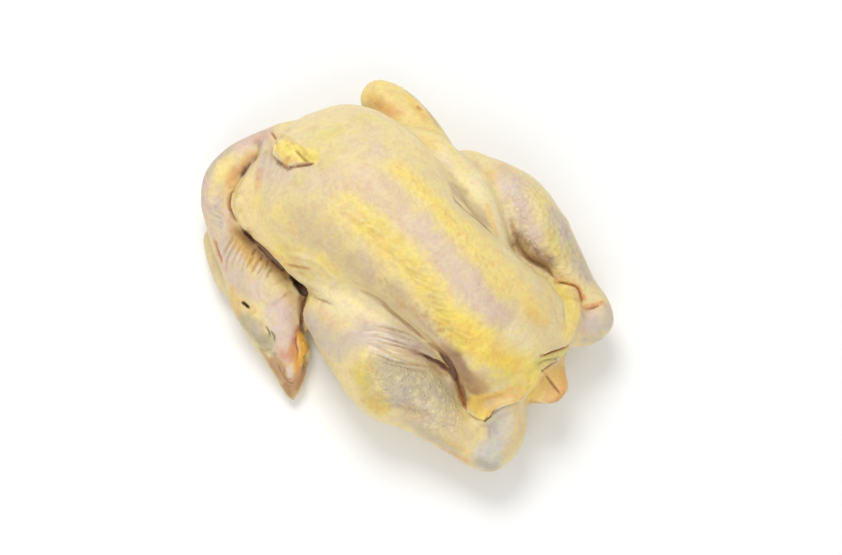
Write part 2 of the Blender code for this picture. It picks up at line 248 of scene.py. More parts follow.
# Each row is a line in the picture, a reach and a face size in millimetres
FINE_ZONES = [
    ([(262, 140), (240, 180), (220, 215), (238, 250), (262, 300), (268, 340), (288, 392)],
     22, WRINKLE_FACES),
    ([(340, 200), (370, 225), (412, 262), (440, 300), (465, 335), (490, 352)], 13, WRINKLE_FACES),
    ([(290, 262), (320, 262), (336, 285), (325, 302)], 8, WRINKLE_FACES),
    ([(355, 290), (400, 320), (445, 352), (468, 385)], 9, WRINKLE_FACES),
    ([(375, 392), (400, 385), (430, 405), (460, 430)], 12, WRINKLE_FACES),
    ([(505, 185), (515, 240), (545, 270), (575, 295)], 9, WRINKLE_FACES),
    ([(450, 180), (470, 212), (494, 238)], 9, WRINKLE_FACES),
    ([(566, 295), (572, 315), (566, 340)], 9, WRINKLE_FACES),
    ([(478, 412), (500, 402), (530, 390)], 9, WRINKLE_FACES),
    ([(272, 135), (285, 148), (300, 152), (314, 160)], 8, CREASE_FACES),
    ([(262, 140), (259, 182)], 3, CREASE_FACES),
    ([(252, 165), (236, 190), (233, 212), (240, 226)], 3.5, CREASE_FACES),
    ([(212, 210), (223, 223)], 6, CREASE_FACES),
    ([(240, 227), (263, 248), (287, 272), (306, 292), (303, 330)], 4, CREASE_FACES),
    ([(240, 245), (255, 258), (262, 278)], 8, CREASE_FACES),
    ([(242, 304), (249, 306)], 3, CREASE_FACES),
    ([(264, 325), (272, 342), (276, 360), (286, 378), (292, 384)], 4, CREASE_FACES),
    ([(300, 340), (304, 356)], 5, CREASE_FACES),
    ([(364, 338), (400, 350), (438, 362)], 12, CREASE_FACES),
    ([(440, 352), (452, 366), (460, 386), (467, 412)], 3.5, CREASE_FACES),
    ([(467, 412), (486, 421), (498, 409), (522, 400)], 3, CREASE_FACES),
    ([(543, 356), (567, 347)], 4, CREASE_FACES),
    ([(543, 371), (562, 397)], 3, CREASE_FACES),
    ([(543, 371), (560, 360)], 3, CREASE_FACES),
    ([(517, 248), (545, 270), (560, 284), (582, 300), (600, 305)], 3, CREASE_FACES),
]
print("fine zones:", len(FINE_ZONES))

# %% Subdivide where the forms are fine
CLEARLY_LARGER = 1.35


def subdivide_to(piece, wanted):
    """Cuts each face that is clearly larger than the size wanted where it lies."""
    mesh = piece.data
    areas = np.empty(len(mesh.polygons))
    mesh.polygons.foreach_get("area", areas)
    too_large = np.nonzero(np.sqrt(areas) > CLEARLY_LARGER * wanted)[0]
    bm = bmesh.new()
    bm.from_mesh(mesh)
    bm.faces.ensure_lookup_table()
    edges = {edge for index in too_large for edge in bm.faces[index].edges}
    bmesh.ops.subdivide_edges(bm, edges=list(edges), cuts=1, use_grid_fill=True)
    bm.to_mesh(mesh)
    bm.free()
    return len(too_large)


def sizes_wanted(piece, zones):
    """The face size that the zones ask for at the middle of each face."""
    mesh = piece.data
    middles = np.empty(len(mesh.polygons) * 3)
    mesh.polygons.foreach_get("center", middles)
    middles = middles.reshape(-1, 3)
    wanted = np.full(len(middles), SKIN_VOXEL)
    for line, reach, size in zones:
        on = line[0][::3]
        away = np.full(len(middles), 1.0)
        for place in on:
            away = np.minimum(away, np.linalg.norm(middles - place, axis=1))
        wanted[away < reach] = np.minimum(wanted[away < reach], size)
    return wanted


zones = [(clay.lay(line), reach * MM, size * MM) for line, reach, size in FINE_ZONES]
for _ in range(2):
    cut = subdivide_to(chicken, sizes_wanted(chicken, zones))
    print("cut", cut, "faces, now", len(chicken.data.polygons))
relax(chicken, 2)
clay.read()
triangles = sum(len(p.vertices) - 2 for p in chicken.data.polygons)
print("fine skin:", triangles, "triangles")

# %% [markdown]
# A stroke is laid along a line and moves the skin by its height, which fades across its width and
# towards its two ends. A crease between two folds of skin is not the same on both sides, so a height
# may also be a pair, for the left and the right of the line's direction. A little pinch draws the
# points in towards the line, which keeps a narrow crease sharp on a mesh this coarse.


# %% The brush
BRUSH_REACH = 2.6


def brush(moves, points, width, height, ends=0.18, pinch=0.0):
    """Adds a stroke along a line to the moves of all points, with width and height in millimetres."""
    line = clay.lay(points)
    if not len(line[0]):
        print("off the skin:", points[:2])
        return
    near, away, side, travelled, facing, closest = clay.around(line, BRUSH_REACH * width * MM)
    shape = np.exp(-(away / (width * MM)) ** 2) * facing
    if ends and len(line[0]) > 1:
        shape = shape * fade(np.minimum(travelled, 1 - travelled) / ends)
    if isinstance(height, tuple):
        rightness = 0.5 + 0.5 * np.tanh(side / (0.3 * width * MM))
        lift = height[0] * (1 - rightness) + height[1] * rightness
    else:
        lift = np.full(len(near), float(height))
    direction = 0.5 * line[1][closest] + 0.5 * clay.normals[near]
    moves[near] += direction * (lift * shape * MM)[:, None]
    if pinch:
        toward = line[0][closest] - clay.places[near]
        toward -= line[1][closest] * (toward * line[1][closest]).sum(axis=1)[:, None]
        moves[near] += toward * (pinch * shape)[:, None]


def strokes(rows):
    """Lays rows of line, width, height, fade at the ends and pinch, all on the skin as it was."""
    moves = np.zeros_like(clay.places)
    for row in rows:
        brush(moves, *row)
    clay.places += moves
    clay.write()
    farthest = np.linalg.norm(moves, axis=1).max() / MM
    print("strokes:", len(rows), "that move the skin by up to", round(farthest, 1), "mm")


# %% [markdown]
# Between its folds the skin is stretched and smooth: the web from the far thigh to the breast, the
# inner side of the neck, and a spot beside the near flap. A thumb rubs such places flat in clay. Here
# each point near a line moves towards the middle of its neighbours, over and over, and less so the
# farther it is from the line. That comes before the folds, so that none of them is rubbed out.


# %% Rub the stretched skin smooth
def mesh_edges(piece):
    """The pairs of points that the edges join."""
    ends = np.empty(len(piece.data.edges) * 2, int)
    piece.data.edges.foreach_get("vertices", ends)
    return ends.reshape(-1, 2)


def neighbour_mean(values, edges):
    """The average of each point's neighbours, for any number of values a point."""
    total = np.empty_like(values)
    for axis in range(values.shape[1]):
        total[:, axis] = np.bincount(edges[:, 0], values[edges[:, 1], axis], len(values))
        total[:, axis] += np.bincount(edges[:, 1], values[edges[:, 0], axis], len(values))
    return total / np.bincount(edges.ravel(), minlength=len(values))[:, None]


def soften(points, reach, rounds):
    """Rubs the skin smooth round a line, which flattens ridges and fills the hollows beside them."""
    near, away, *rest = clay.around(clay.lay(points), reach * MM)
    held = np.zeros(len(clay.places))
    held[near] = fade(2 - 2 * away / (reach * MM))
    for _ in range(rounds):
        clay.places += (neighbour_mean(clay.places, edges) - clay.places) * (0.5 * held)[:, None]
    clay.write()


edges = mesh_edges(chicken)
# Each row is a line, a reach in millimetres and a number of rounds
STRETCHED = [
    ([(462, 166), (478, 184), (490, 202), (502, 226), (509, 244)], 17, 60),
    ([(246, 182), (243, 205), (249, 230)], 9, 40),
    ([(237, 200), (242, 222), (254, 239)], 6, 40),
    ([(452, 192), (466, 210), (490, 234)], 9, 60),
    ([(484, 432)], 4, 20),
]
for row in STRETCHED:
    soften(*row)
print("places rubbed smooth:", len(STRETCHED), "over", len(edges), "edges")

# %% [markdown]
# The big folds come first. Where the legs, the neck and the loose belly skin press against the body
# there are deep, dark creases with a rounded lip, and everything finer runs into them. They could be
# modelled as separate flaps, but the skin is one piece on the real bird, and pressed folds keep it so.

# %% Press the main creases
NEAR_CREASE = [(352, 286), (376, 299), (394, 315), (414, 331), (432, 345)]
NEAR_CREASE_DEEP = [(432, 344), (443, 354), (451, 366), (457, 382), (462, 398), (467, 413)]
NEAR_SECOND_FOLD = [(406, 348), (418, 352), (432, 358), (446, 367)]
FAR_CREASE = [(508, 212), (511, 226), (515, 240), (520, 251), (530, 261), (546, 270), (557, 281)]
FAR_HOCK_FOLD = [(556, 282), (566, 284), (577, 288), (581, 298), (583, 308)]
FAR_SHANK_FOLD = [(582, 309), (592, 308), (600, 305)]
FLANK_CREASE = [(451, 190), (456, 202), (470, 214), (488, 230), (496, 238)]
NECK_GAP = [(240, 227), (248, 235), (263, 248), (275, 260), (287, 272)]
NECK_GAP_WIDE = [(283, 268), (294, 280), (306, 292)]
HEAD_GAP = [(306, 294), (303, 310), (302, 327), (306, 336)]
NECK_INNER_CREASE = [(251, 164), (244, 175), (235, 187), (231, 198), (231, 208), (238, 224)]

strokes([
    # Between the near leg and the belly
    (NEAR_CREASE, 2.4, (-1.3, 0.5), 0.4),
    (NEAR_CREASE[1:], 1.0, -0.7, 0.4, 0.15),
    ([(452, 350), (462, 368), (468, 388)], 5.0, -1.6, 0.2),
    (NEAR_CREASE_DEEP, 3.0, (-2.6, -0.8), 0.2),
    (NEAR_CREASE_DEEP[1:], 1.5, -2.8, 0.25, 0.3),
    (NEAR_SECOND_FOLD, 1.8, (0.6, -1.8), 0.3, 0.2),
    ([(432, 359), (442, 365), (452, 372)], 2.2, -1.6, 0.3),
    # Between the far leg and the belly, and at its hock
    (FAR_CREASE, 2.0, (-2.2, 0.3), 0.25),
    (FAR_CREASE[2:], 0.9, -1.6, 0.2, 0.3),
    (FAR_HOCK_FOLD, 0.9, -1.7, 0.2, 0.3),
    (FAR_SHANK_FOLD, 0.9, -1.8, 0.25, 0.2),
    # The crease and the hollow below the web
    (FLANK_CREASE, 1.5, (-1.6, 0.3), 0.3, 0.2),
    ([(459, 194), (469, 206), (483, 222)], 3.2, -1.0, 0.3),
    # The full side of the breast, and the gaps between it, the neck and the head
    ([(242, 192), (240, 208), (244, 221), (251, 232)], 3.4, 2.6, 0.2),
    (NECK_GAP, 1.0, -2.8, 0.2, 0.4),
    (NECK_GAP_WIDE, 2.0, -4.5, 0.2),
    (HEAD_GAP, 1.2, -3.2, 0.1, 0.3),
    (NECK_INNER_CREASE, 1.3, (0.4, -2.4), 0.15, 0.3),
    ([(247, 166), (240, 178)], 2.4, -1.6, 0.3),
])

# %% [markdown]
# Where the neck turns back over the shoulder, its loose skin gathers into a fan of thin wrinkles,
# and more of them ring the throat. They are alike but never quite parallel. So a helper spreads
# lines between a first and a last one, and lets each wander a little by a seeded draw.


# %% Spread wrinkles between two lines
def between(first, last, count, wobble, seed):
    """Lines spread between a first and a last one, each a little off from an even spacing."""
    turns = random.Random(seed)
    one, two = curve(first, 9), curve(last, 9)
    lines = []
    for k in range(count):
        t = min(1.0, max(0.0, (k + turns.uniform(-0.25, 0.25)) / (count - 1)))
        waves = np.interp(range(9), (0, 2, 4, 6, 8), [turns.uniform(-wobble, wobble) for _ in range(5)])
        line = one * (1 - t) + two * t + np.outer(waves, (0.6, 0.8))
        start = turns.choice((0, 0, 1, 2))
        stop = 9 - turns.choice((0, 0, 1, 2))
        lines.append([tuple(place) for place in line[start:stop]])
    return lines


# %% Fold the skin at the shoulder and under the throat
FAN_FIRST = [(238, 233), (229, 244), (222, 258), (221, 276)]
FAN_LAST = [(277, 263), (271, 272), (264, 284)]
fan = between(FAN_FIRST, FAN_LAST, 10, 0.8, 3)
rings = between([(210, 205), (218, 208), (227, 213)], [(212, 224), (220, 227), (229, 229)], 5, 1.0, 7)

fold_turns = random.Random(6)
strokes([(line, 0.85, -0.95 * fold_turns.uniform(0.5, 1.2), 0.4, 0.1) for line in fan])
strokes([(line, 1.1, -0.7 * fold_turns.uniform(0.5, 1.1), 0.4) for line in rings])
strokes([
    # Folds from the gap to the near leg
    ([(280, 253), (300, 255), (318, 262), (332, 275), (338, 284)], 2.2, 1.1),
    ([(284, 263), (297, 266), (313, 268)], 0.8, (0.4, -1.2), 0.3, 0.3),
    ([(290, 270), (303, 273), (318, 280)], 0.9, (0.4, -0.6), 0.3),
    ([(307, 292), (322, 300), (336, 305)], 0.9, (0.6, -1.3), 0.3, 0.3),
    ([(292, 276), (312, 284), (330, 292)], 2.4, 0.6),
    # The cheek, and the soft edge of the throat
    ([(277, 283), (285, 296)], 6.0, 0.9),
    ([(262, 275), (259, 286), (261, 297), (270, 303), (282, 303)], 1.6, (0.4, -0.3), 0.4),
    # The slit beside the near wing
    ([(214, 238), (217, 250), (223, 264)], 1.0, -1.5, 0.25, 0.3),
    # The ends of the fan at the gap
    ([(257, 247), (252, 256)], 0.7, -1.2, 0.3),
    ([(264, 252), (260, 261)], 0.7, -1.2, 0.3),
    ([(270, 258), (266, 267)], 0.7, -1.0, 0.3),
    # The strand of skin beside the fat, and the swell of the breast below it
    ([(266, 136), (264, 150), (261, 166), (258, 182)], 2.2, 1.4),
    ([(259, 142), (256, 156), (250, 172)], 1.2, -1.2),
    ([(273, 146), (270, 160), (265, 178)], 1.4, -0.8),
    ([(281, 176), (300, 176), (320, 186)], 5.0, 0.6),
])
print("fan:", len(fan), "wrinkles, rings:", len(rings))

# %% [markdown]
# A lump of yellow fat shows at the slit in front of the breast. Three raised strokes make its lobes
# and three pressed ones cut round them. A short rub then takes the step off its neck side.

# %% Lobe the lump of fat
strokes([
    ([(278, 132), (290, 137), (300, 143), (309, 151), (315, 160)], 2.0, 1.6, 0.15),
    ([(277, 138), (283, 148), (290, 158)], 2.4, 1.2, 0.15),
    ([(281, 141), (288, 146)], 1.4, 0.7, 0.2),
    ([(269, 130), (274, 136), (277, 145), (274, 154)], 0.9, -1.6, 0.2, 0.3),
    ([(271, 153), (278, 163), (287, 168), (299, 165), (316, 163)], 1.1, (0.7, -2.2), 0.15, 0.3),
    ([(294, 149), (299, 154), (304, 160), (310, 162)], 0.9, -1.7, 0.3, 0.2),
])
soften([(279, 140), (280, 154)], 4, 6)

# %% [markdown]
# The head is small, so each mark on it is only a stroke or two: the ear slit, the closed lid over
# the round of the eye, the line of the mouth and the lobed wattle. The round forms are raised first,
# and the slits are pressed into them afterwards.

# %% Shape the face
EYE = [(257, 333)]
EAR = [(241, 301), (250, 309)]
LID = [(265, 325), (269, 331), (271, 338)]
LOWER_LID = [(270, 329), (274, 336), (275, 343)]
MOUTH = [(275, 361), (280, 371), (285, 380), (291, 384), (298, 383)]
BEAK_FOLD = [(285, 366), (284, 373), (287, 379), (293, 379)]
strokes([
    # The rounds of the eye, the ear, the beak, the wattle and the cheek
    (EYE, 3.8, 1.0, 0),
    ([(246, 308)], 3.4, 0.5, 0),
    ([(290, 372)], 1.8, 0.9, 0),
    ([(302, 341), (306, 350), (304, 357)], 2.0, 1.0, 0.1),
    ([(284, 352), (289, 360)], 2.5, 0.5, 0),
    ([(249, 316), (262, 318), (274, 328)], 1.4, 0.5),
    ([(276, 300), (286, 315), (290, 335)], 4.0, 0.6),
])
strokes([
    # The slits and the folds round them
    (EAR, 0.9, -2.8, 0.25),
    (LID, 0.6, -0.6, 0.3),
    (LOWER_LID, 0.6, -0.6, 0.3),
    ([(256, 347), (266, 351), (274, 348)], 0.9, -0.5, 0.3),
    (MOUTH, 0.9, (-1.0, 0.4), 0.25),
    ([(297, 332), (297, 342), (299, 352), (298, 362)], 0.9, -1.3, 0.3),
    ([(303, 359), (309, 353)], 0.8, -0.7, 0.3),
    ([(309, 346), (307, 360), (303, 374)], 2.2, -1.5, 0.3),
    (BEAK_FOLD, 0.8, -0.6, 0.3),
])

# %% [markdown]
# The near leg is bent, so the skin over its knee lies in long thin wrinkles that run into the deep
# crease. The belly skin ends in loose flaps with thin rims over the two shanks, and the vent and the
# tail have folds of their own. The wrinkles are spread by the same helper as the fan, and the single
# folds are placed one by one, since no two of them are alike.

# %% Wrinkle the leg and fold the flaps, the vent and the tail
NEAR_FLAP_EDGE = [(466, 411), (476, 418), (486, 421)]
NEAR_FLAP_RIM = [(487, 421), (493, 414), (501, 408), (512, 404), (523, 400)]
VENT = [(541, 356), (553, 351), (568, 346)]
TAIL_FOLD = [(543, 371), (552, 383), (562, 396)]
TAIL_ROOT_FOLD = [(543, 371), (551, 365), (560, 360)]
leg_wrinkles = between([(352, 330), (372, 327), (392, 330), (412, 338), (430, 348)],
                       [(360, 354), (380, 360), (398, 367), (420, 370), (442, 370)], 9, 1.6, 4)
strokes([(line, 1.0, -1.7 * fold_turns.uniform(0.45, 1.2), 0.45, 0.1) for line in leg_wrinkles])
strokes([
    # The dent and the swell of the drumstick
    ([(376, 411), (388, 407), (402, 408), (420, 415), (434, 423)], 3.6, -1.5, 0.4),
    ([(362, 402), (372, 412)], 4.0, 0.8),
    ([(400, 425), (415, 436)], 4.0, 0.7),
    # The near flap
    (NEAR_FLAP_EDGE, 1.4, (0.6, -0.9), 0.2),
    (NEAR_FLAP_RIM, 1.6, (0.9, -1.3), 0.25),
    (NEAR_FLAP_RIM[:3], 0.8, -1.2, 0.3),
    ([(472, 398), (482, 400), (496, 397), (516, 392)], 1.6, -0.6, 0.4),
    # The vent and the tail
    (VENT, 1.2, (0.5, -2.4), 0.2, 0.3),
    ([(536, 366), (545, 361), (556, 359), (567, 357)], 0.9, -1.2, 0.2),
    (TAIL_FOLD, 0.8, -1.5, 0.2),
    (TAIL_ROOT_FOLD, 0.8, -1.5, 0.2),
    (TAIL_FOLD[:1], 0.9, -1.6, 0),
    ([(528, 372), (529, 386), (524, 399)], 1.6, -0.5, 0.4),
    # The far flap
    ([(555, 296), (556, 312), (560, 330)], 1.3, -0.6, 0.4),
    ([(563, 300), (565, 316), (567, 332)], 1.2, -0.6, 0.4),
    ([(574, 294), (577, 306), (575, 322)], 1.3, -0.4, 0.4),
    # The end of the keel, the keel itself and the belly
    ([(515, 290), (518, 306), (512, 322), (500, 332), (486, 334)], 2.2, -0.6, 0.4),
    ([(440, 238), (462, 262), (486, 296), (500, 318)], 5.0, 0.5),
    ([(478, 345), (496, 352), (520, 350)], 5.0, 0.6),
])
print("leg wrinkles:", len(leg_wrinkles))

# %% [markdown]
# Feathers grow in tracts. On each side of the keel a band of skin carries rows of empty follicles,
# and the fat under it raises short ridges that cross the band. They are all alike, so a loop lays
# them along the middle of the tract, with small turns from a seeded draw.

# %% Raise the ridges of the breast tracts
NEAR_TRACT = [(344, 207), (366, 224), (390, 246), (412, 268), (430, 292), (446, 318), (462, 338)]
FAR_TRACT = [(398, 168), (420, 186), (442, 208), (462, 234), (484, 262), (502, 288)]


def tract_ridges(middle, spacing, slope, reach, height, seed):
    """Short ridges across a tract, in two staggered columns, as brush rows."""
    turns = random.Random(seed)
    rows = []
    path = smooth_line(middle, spacing)
    for k, (x, y) in enumerate(path):
        for column in (-1, 1):
            # Each column lies off the middle, and every other row is set back from the one before
            shift = column * reach * 0.42 + turns.uniform(-2.0, 2.0)
            cx = x + shift * math.cos(slope) + (1.5 if k % 2 else -1.5)
            cy = y + shift * math.sin(slope) + column * 1.5
            half = reach * turns.uniform(0.35, 0.9)
            bend = turns.uniform(-1.5, 1.5)
            lean = slope + turns.uniform(-0.2, 0.2)
            ends = [(cx + s * half * math.cos(lean), cy + s * half * math.sin(lean) + bend * (1 - s * s))
                    for s in (-1, 0, 1)]
            rows.append((ends, 1.15, height * turns.uniform(0.4, 1.2), 0.5))
    return rows


# The ridges of the two tracts, then fine furrows that cross the flank below the near one
near_rows = tract_ridges([(354, 214)] + NEAR_TRACT[1:], 5.0, math.radians(12), 15, 0.5, 11)
far_rows = tract_ridges(FAR_TRACT, 8.0, math.radians(30), 10, 0.3, 12)
cross_rows = tract_ridges([(374, 274), (396, 294), (422, 316), (446, 338)], 6.0, math.radians(-50), 9,
                          -0.35, 13)
strokes(near_rows + far_rows + cross_rows)
flank_wrinkles = between([(400, 308), (416, 316), (432, 328)],
                         [(424, 332), (436, 340), (448, 350)], 5, 1.5, 21)
strokes([(line, 1.3, -0.4 * fold_turns.uniform(0.5, 1.2), 0.4) for line in flank_wrinkles])
print("tract ridges:", len(near_rows), "near,", len(far_rows), "far")

# %% [markdown]
# The photograph leaves out the front of the breast and the low parts of both sides. The skin folds
# there as well, where a wing or a leg lies against the trunk. No place in the picture shows it, so
# these lines are in millimetres on the body, and they stay few and shallow.

# %% Fold the sides that the photograph doesn't show
strokes([
    # Between the far wing and the far leg
    ([(60, 36, 40), (66, 31, 27), (62, 27, 14)], 3.0, -1.6, 0.3),
    ([(60, 24, 44), (68, 17, 31), (68, 12, 17)], 2.6, -0.9, 0.35),
    ([(64, 44, 34), (70, 42, 24)], 2.6, -0.8, 0.35),
    # On the far thigh
    ([(78, -4, 48), (86, -12, 34), (86, -18, 20)], 2.8, -0.7, 0.4),
    ([(72, -28, 52), (84, -32, 40), (88, -36, 26)], 2.8, 0.6, 0.4),
    # In front of the breast
    ([(30, 105, 60), (40, 96, 40), (44, 84, 26)], 3.0, -0.9, 0.35),
    ([(-20, 130, 40), (0, 132, 34), (20, 124, 30)], 3.0, -0.8, 0.35),
    # Low on the near side
    ([(-60, 40, 46), (-66, 30, 34), (-64, 20, 24)], 2.6, -0.8, 0.35),
    ([(-88, 80, 22), (-96, 62, 18), (-98, 44, 16)], 2.4, -0.7, 0.35),
])

# %% [markdown]
# A fold catches light on its top and loses it in its bottom. So the depth of each point below its
# surroundings is measured, for painted shade in the valleys and painted highlight on the ridges later.
# Only the finely divided parts count in full, since the rest is too coarse to show a wrinkle.


# %% Find the valleys and the ridges
def spread_out(values, rounds):
    """Mixes each point's values with its neighbours', a number of times."""
    for _ in range(rounds):
        values = (values + neighbour_mean(values, edges)) / 2
    return values


depth = ((spread_out(clay.places, 8) - clay.places) * clay.normals).sum(axis=1)[:, None] / MM
depth = (depth - spread_out(depth, 40))[:, 0]
edge_lengths = np.linalg.norm(clay.places[edges[:, 0]] - clay.places[edges[:, 1]], axis=1)
spacing = np.bincount(edges.ravel(), np.repeat(edge_lengths, 2), len(clay.places))
spacing /= np.bincount(edges.ravel(), minlength=len(clay.places))
# It is 1 where points are 0.9 mm apart or closer, and falls to a tenth at about 1.5 mm
fineness = np.clip((1.6 * MM - spacing) / (0.7 * MM), 0.1, 1.0)
valleys = spread_out((np.clip((depth - 0.02) / 0.3, 0.0, 1.0) * fineness)[:, None], 2)[:, 0]
ridges = spread_out((np.clip(-depth / 0.3, 0.0, 1.0) * fineness)[:, None], 2)[:, 0]
print("depth in its surroundings:", np.percentile(depth, (1, 10, 50, 90, 99)).round(2), "mm")

# %% [markdown]
# No skin is quite even, since the flesh under it swells here and there. Two noises, one with wide
# waves and one with short ones, lift or lower each point by less than half a millimetre. It comes
# after the valleys are found, as such faint waves shouldn't be shaded like folds. What would sink
# below the table is put back on it.

# %% Make the skin a little uneven everywhere
UNEVEN_SCALES = [(14 * MM, 0.35 * MM), (5 * MM, 0.14 * MM)]
for size, height in UNEVEN_SCALES:
    lift = np.array([noise.noise(Vector(p) / size) for p in clay.places])
    clay.places += clay.normals * (lift * height)[:, None]
clay.places[:, 2] = np.maximum(clay.places[:, 2], 0.0)
clay.write()
print("lowest point", round(clay.places[:, 2].min() / MM, 2), "mm above the table")

# %% [markdown]
# Skin this thin shows what lies under it: yellow fat in the tracts and on the belly, and pink and lilac
# muscle on the legs and along the keel. Folds get brown painted shade where they stay dark. A picture
# laid over the mesh would smear on its steep sides. So the colour is painted point by point in named
# tones, like washes, each along a line with a soft and ragged edge, and it holds from every side.

# %% Mix the tones
SKIN_TONES = {
    "cream": (229, 210, 157), "bright cream": (240, 225, 180), "warm cream": (237, 214, 156),
    "beige": (216, 195, 148), "grey beige": (202, 182, 140), "keel pink": (222, 198, 167),
    "keel lilac": (216, 196, 178), "yellow": (239, 216, 134), "bright yellow": (243, 218, 100),
    "gold": (236, 192, 92), "fat": (243, 219, 120), "lilac": (205, 188, 172),
    "grey lilac": (190, 176, 166), "pebble grey": (198, 184, 152), "olive": (218, 196, 106),
    "blue grey": (196, 192, 184), "shank white": (200, 194, 184), "hock grey": (178, 170, 148),
    "pink": (218, 182, 154), "neck pink": (222, 194, 178), "head pink": (219, 200, 188),
    "orange": (222, 160, 96), "burnt orange": (182, 110, 46),
    "brown": (170, 126, 84), "mauve brown": (168, 136, 112), "dark brown": (98, 54, 28),
    "near black": (40, 20, 10), "shadow brown": (190, 156, 104), "olive brown": (140, 110, 58),
    "eye grey": (188, 173, 144), "eye green": (168, 162, 124), "lid green": (84, 88, 58),
    "horn": (184, 142, 102), "wattle": (234, 184, 90), "wattle red": (196, 112, 70),
    "green yellow": (216, 204, 104), "wrinkle highlight": (238, 228, 214), "tail tan": (234, 192, 112),
    "ear rim": (226, 188, 122), "tract shade": (214, 174, 84),
}


def linear(rgb):
    """A screen colour in 0 to 255 as linear light."""
    c = np.array(rgb) / 255.0
    return np.where(c <= 0.04045, c / 12.92, ((c + 0.055) / 1.055) ** 2.4)


TONES = {name: linear(rgb) for name, rgb in SKIN_TONES.items()}
print("tones:", len(TONES))

# %% [markdown]
# A wash has a full core and a soft edge, like thin paint on damp paper. Two noises fray the edge, so
# that no patch looks sprayed. A wash stays on the skin that faces as its line does, and only the
# painted shade of a gap, with walls set, also covers the steep sides.

# %% A wash of tone
colour = np.tile(TONES["cream"], (len(clay.places), 1))
RAGGED_SIZES = [(9 * MM, 0.45), (2.5 * MM, 0.3)]
ragged = np.zeros(len(clay.places))
for size, share in RAGGED_SIZES:
    ragged += share * np.array([noise.noise(Vector(p) / size) for p in clay.places]) * 2
print("the edges fray by", ragged.min().round(2), "to", ragged.max().round(2))


def coverage(points, reach, soft, strength, rough=1.0, taper=0.0, walls=False):
    """Which points a wash along a line covers, and how strongly. Reach and soft are in millimetres."""
    line = clay.lay(points)
    if not len(line[0]):
        print("off the skin:", points[:2])
        return np.array([], int), 0.0
    near, away, side, travelled, facing, closest = clay.around(line, 1.6 * (reach + soft) * MM)
    if walls:
        facing = 1.0
    # The ragged noise moves the edge in and out, and a taper narrows a wash to a quarter at its ends
    edge = away / MM * (1 + 0.3 * rough * ragged[near])
    if taper and len(line[0]) > 1:
        swell = fade(np.minimum(travelled, 1 - travelled) / taper)
        edge = edge / (0.25 + 0.75 * swell)
        strength = strength * fade(2 * swell + 0.2)
    return near, strength * fade((reach + soft - edge) / soft) * facing * (1 + 0.2 * rough * ragged[near])


def wash(tone, points, reach, soft, strength=1.0, rough=1.0, taper=0.0, walls=False):
    """Moves the colour of the skin towards a tone where the wash covers it."""
    near, cover = coverage(points, reach, soft, strength, rough, taper, walls)
    if len(near):
        colour[near] += (TONES[tone] - colour[near]) * np.clip(cover, 0.0, 1.0)[:, None]


def washes(rows):
    """Lays rows of tone, line, reach and soft edge in millimetres, strength and roughness."""
    for row in rows:
        wash(*row)
    print("washes:", len(rows))


# %% [markdown]
# The breast is cream in front and beige along the flank. Its keel is pink and lilac, where little
# lies between skin and bone, and the tracts and the belly are yellow with fat. The wide washes come
# first, and the small ones go over them.

# %% Wash the breast and the belly
BREAST_WASHES = [
    # The front, the flank and the keel
    ("cream", [(290, 190), (345, 150), (385, 140)], 14, 24),
    ("warm cream", [(240, 195), (246, 215), (268, 236), (290, 250)], 6, 14),
    ("keel lilac", [(268, 172), (300, 176), (330, 186)], 2, 12, 0.6),
    ("keel pink", [(330, 168), (372, 185)], 4, 14, 0.6),
    ("beige", [(300, 222), (340, 250), (372, 278), (410, 310), (440, 340)], 4, 14),
    ("grey beige", [(360, 262), (395, 292), (430, 325)], 1, 10, 0.4),
    ("keel pink", [(366, 184), (400, 210), (440, 250), (475, 290), (500, 322)], 4, 10),
    ("keel lilac", [(420, 225), (445, 255), (480, 300), (498, 322)], 1, 9, 0.6),
    ("beige", [(374, 186), (394, 202)], 2, 8, 0.5),
    # The two tracts
    ("yellow", NEAR_TRACT, 3, 11, 0.95),
    ("cream", [(340, 203), (360, 218)], 2, 8, 0.35),
    ("lilac", [(360, 240), (364, 256), (370, 272)], 0.3, 4, 0.5),
    ("bright yellow", [(366, 226), (395, 248), (425, 285), (450, 318)], 1, 9, 0.35),
    ("yellow", FAR_TRACT, 2, 8, 0.9),
    ("bright yellow", [(400, 172), (425, 194), (452, 226)], 0, 6, 0.45),
    ("yellow", [(470, 228), (500, 262), (522, 290), (535, 310)], 1, 9, 0.8),
    # The skin by the far wing, and the belly
    ("warm cream", [(410, 140), (440, 160)], 5, 10, 0.7),
    ("bright yellow", [(455, 325), (475, 340), (497, 352), (515, 362)], 3, 14),
    ("gold", [(466, 336), (490, 352), (512, 366)], 2, 9, 0.5),
    ("gold", [(527, 303), (545, 324)], 0, 7, 0.2),
    ("bright cream", [(514, 332), (526, 344)], 1, 8, 0.8),
    ("cream", [(500, 340), (520, 350)], 1, 8, 0.5),
    # Painted shade where the belly slopes down to the near side
    ("beige", [(485, 372), (505, 380)], 1, 8, 0.6),
    # The shaded side of the belly above the near flap, and the edge of the flap
    ("shadow brown", [(446, 352), (460, 370), (478, 388)], 2.5, 9, 1.0),
    ("brown", [(452, 354), (462, 374), (472, 390)], 1.2, 7, 0.75),
    ("mauve brown", [(452, 354), (462, 366), (470, 378)], 0.5, 5, 0.6),
    ("gold", [(478, 399), (497, 395), (520, 390)], 1.5, 4, 0.85),
    # The folds between the neck and the near leg
    ("yellow", [(283, 252), (305, 258), (325, 268), (336, 283)], 2, 9),
    ("yellow", [(290, 262), (310, 276), (325, 292)], 1, 7, 0.7),
    # Orange painted shade in one of these folds
    ("orange", [(284, 264), (297, 266), (312, 269)], 0.1, 2.0, 0.6),
    ("bright cream", [(308, 262), (328, 279)], 3, 8, 0.9),
    ("fat", [(312, 264), (324, 276)], 1, 7, 0.6),
    # Golden painted shade along the gap below the neck
    ("gold", [(262, 246), (280, 258), (292, 268)], 0.3, 3, 0.5),
]
washes(BREAST_WASHES)

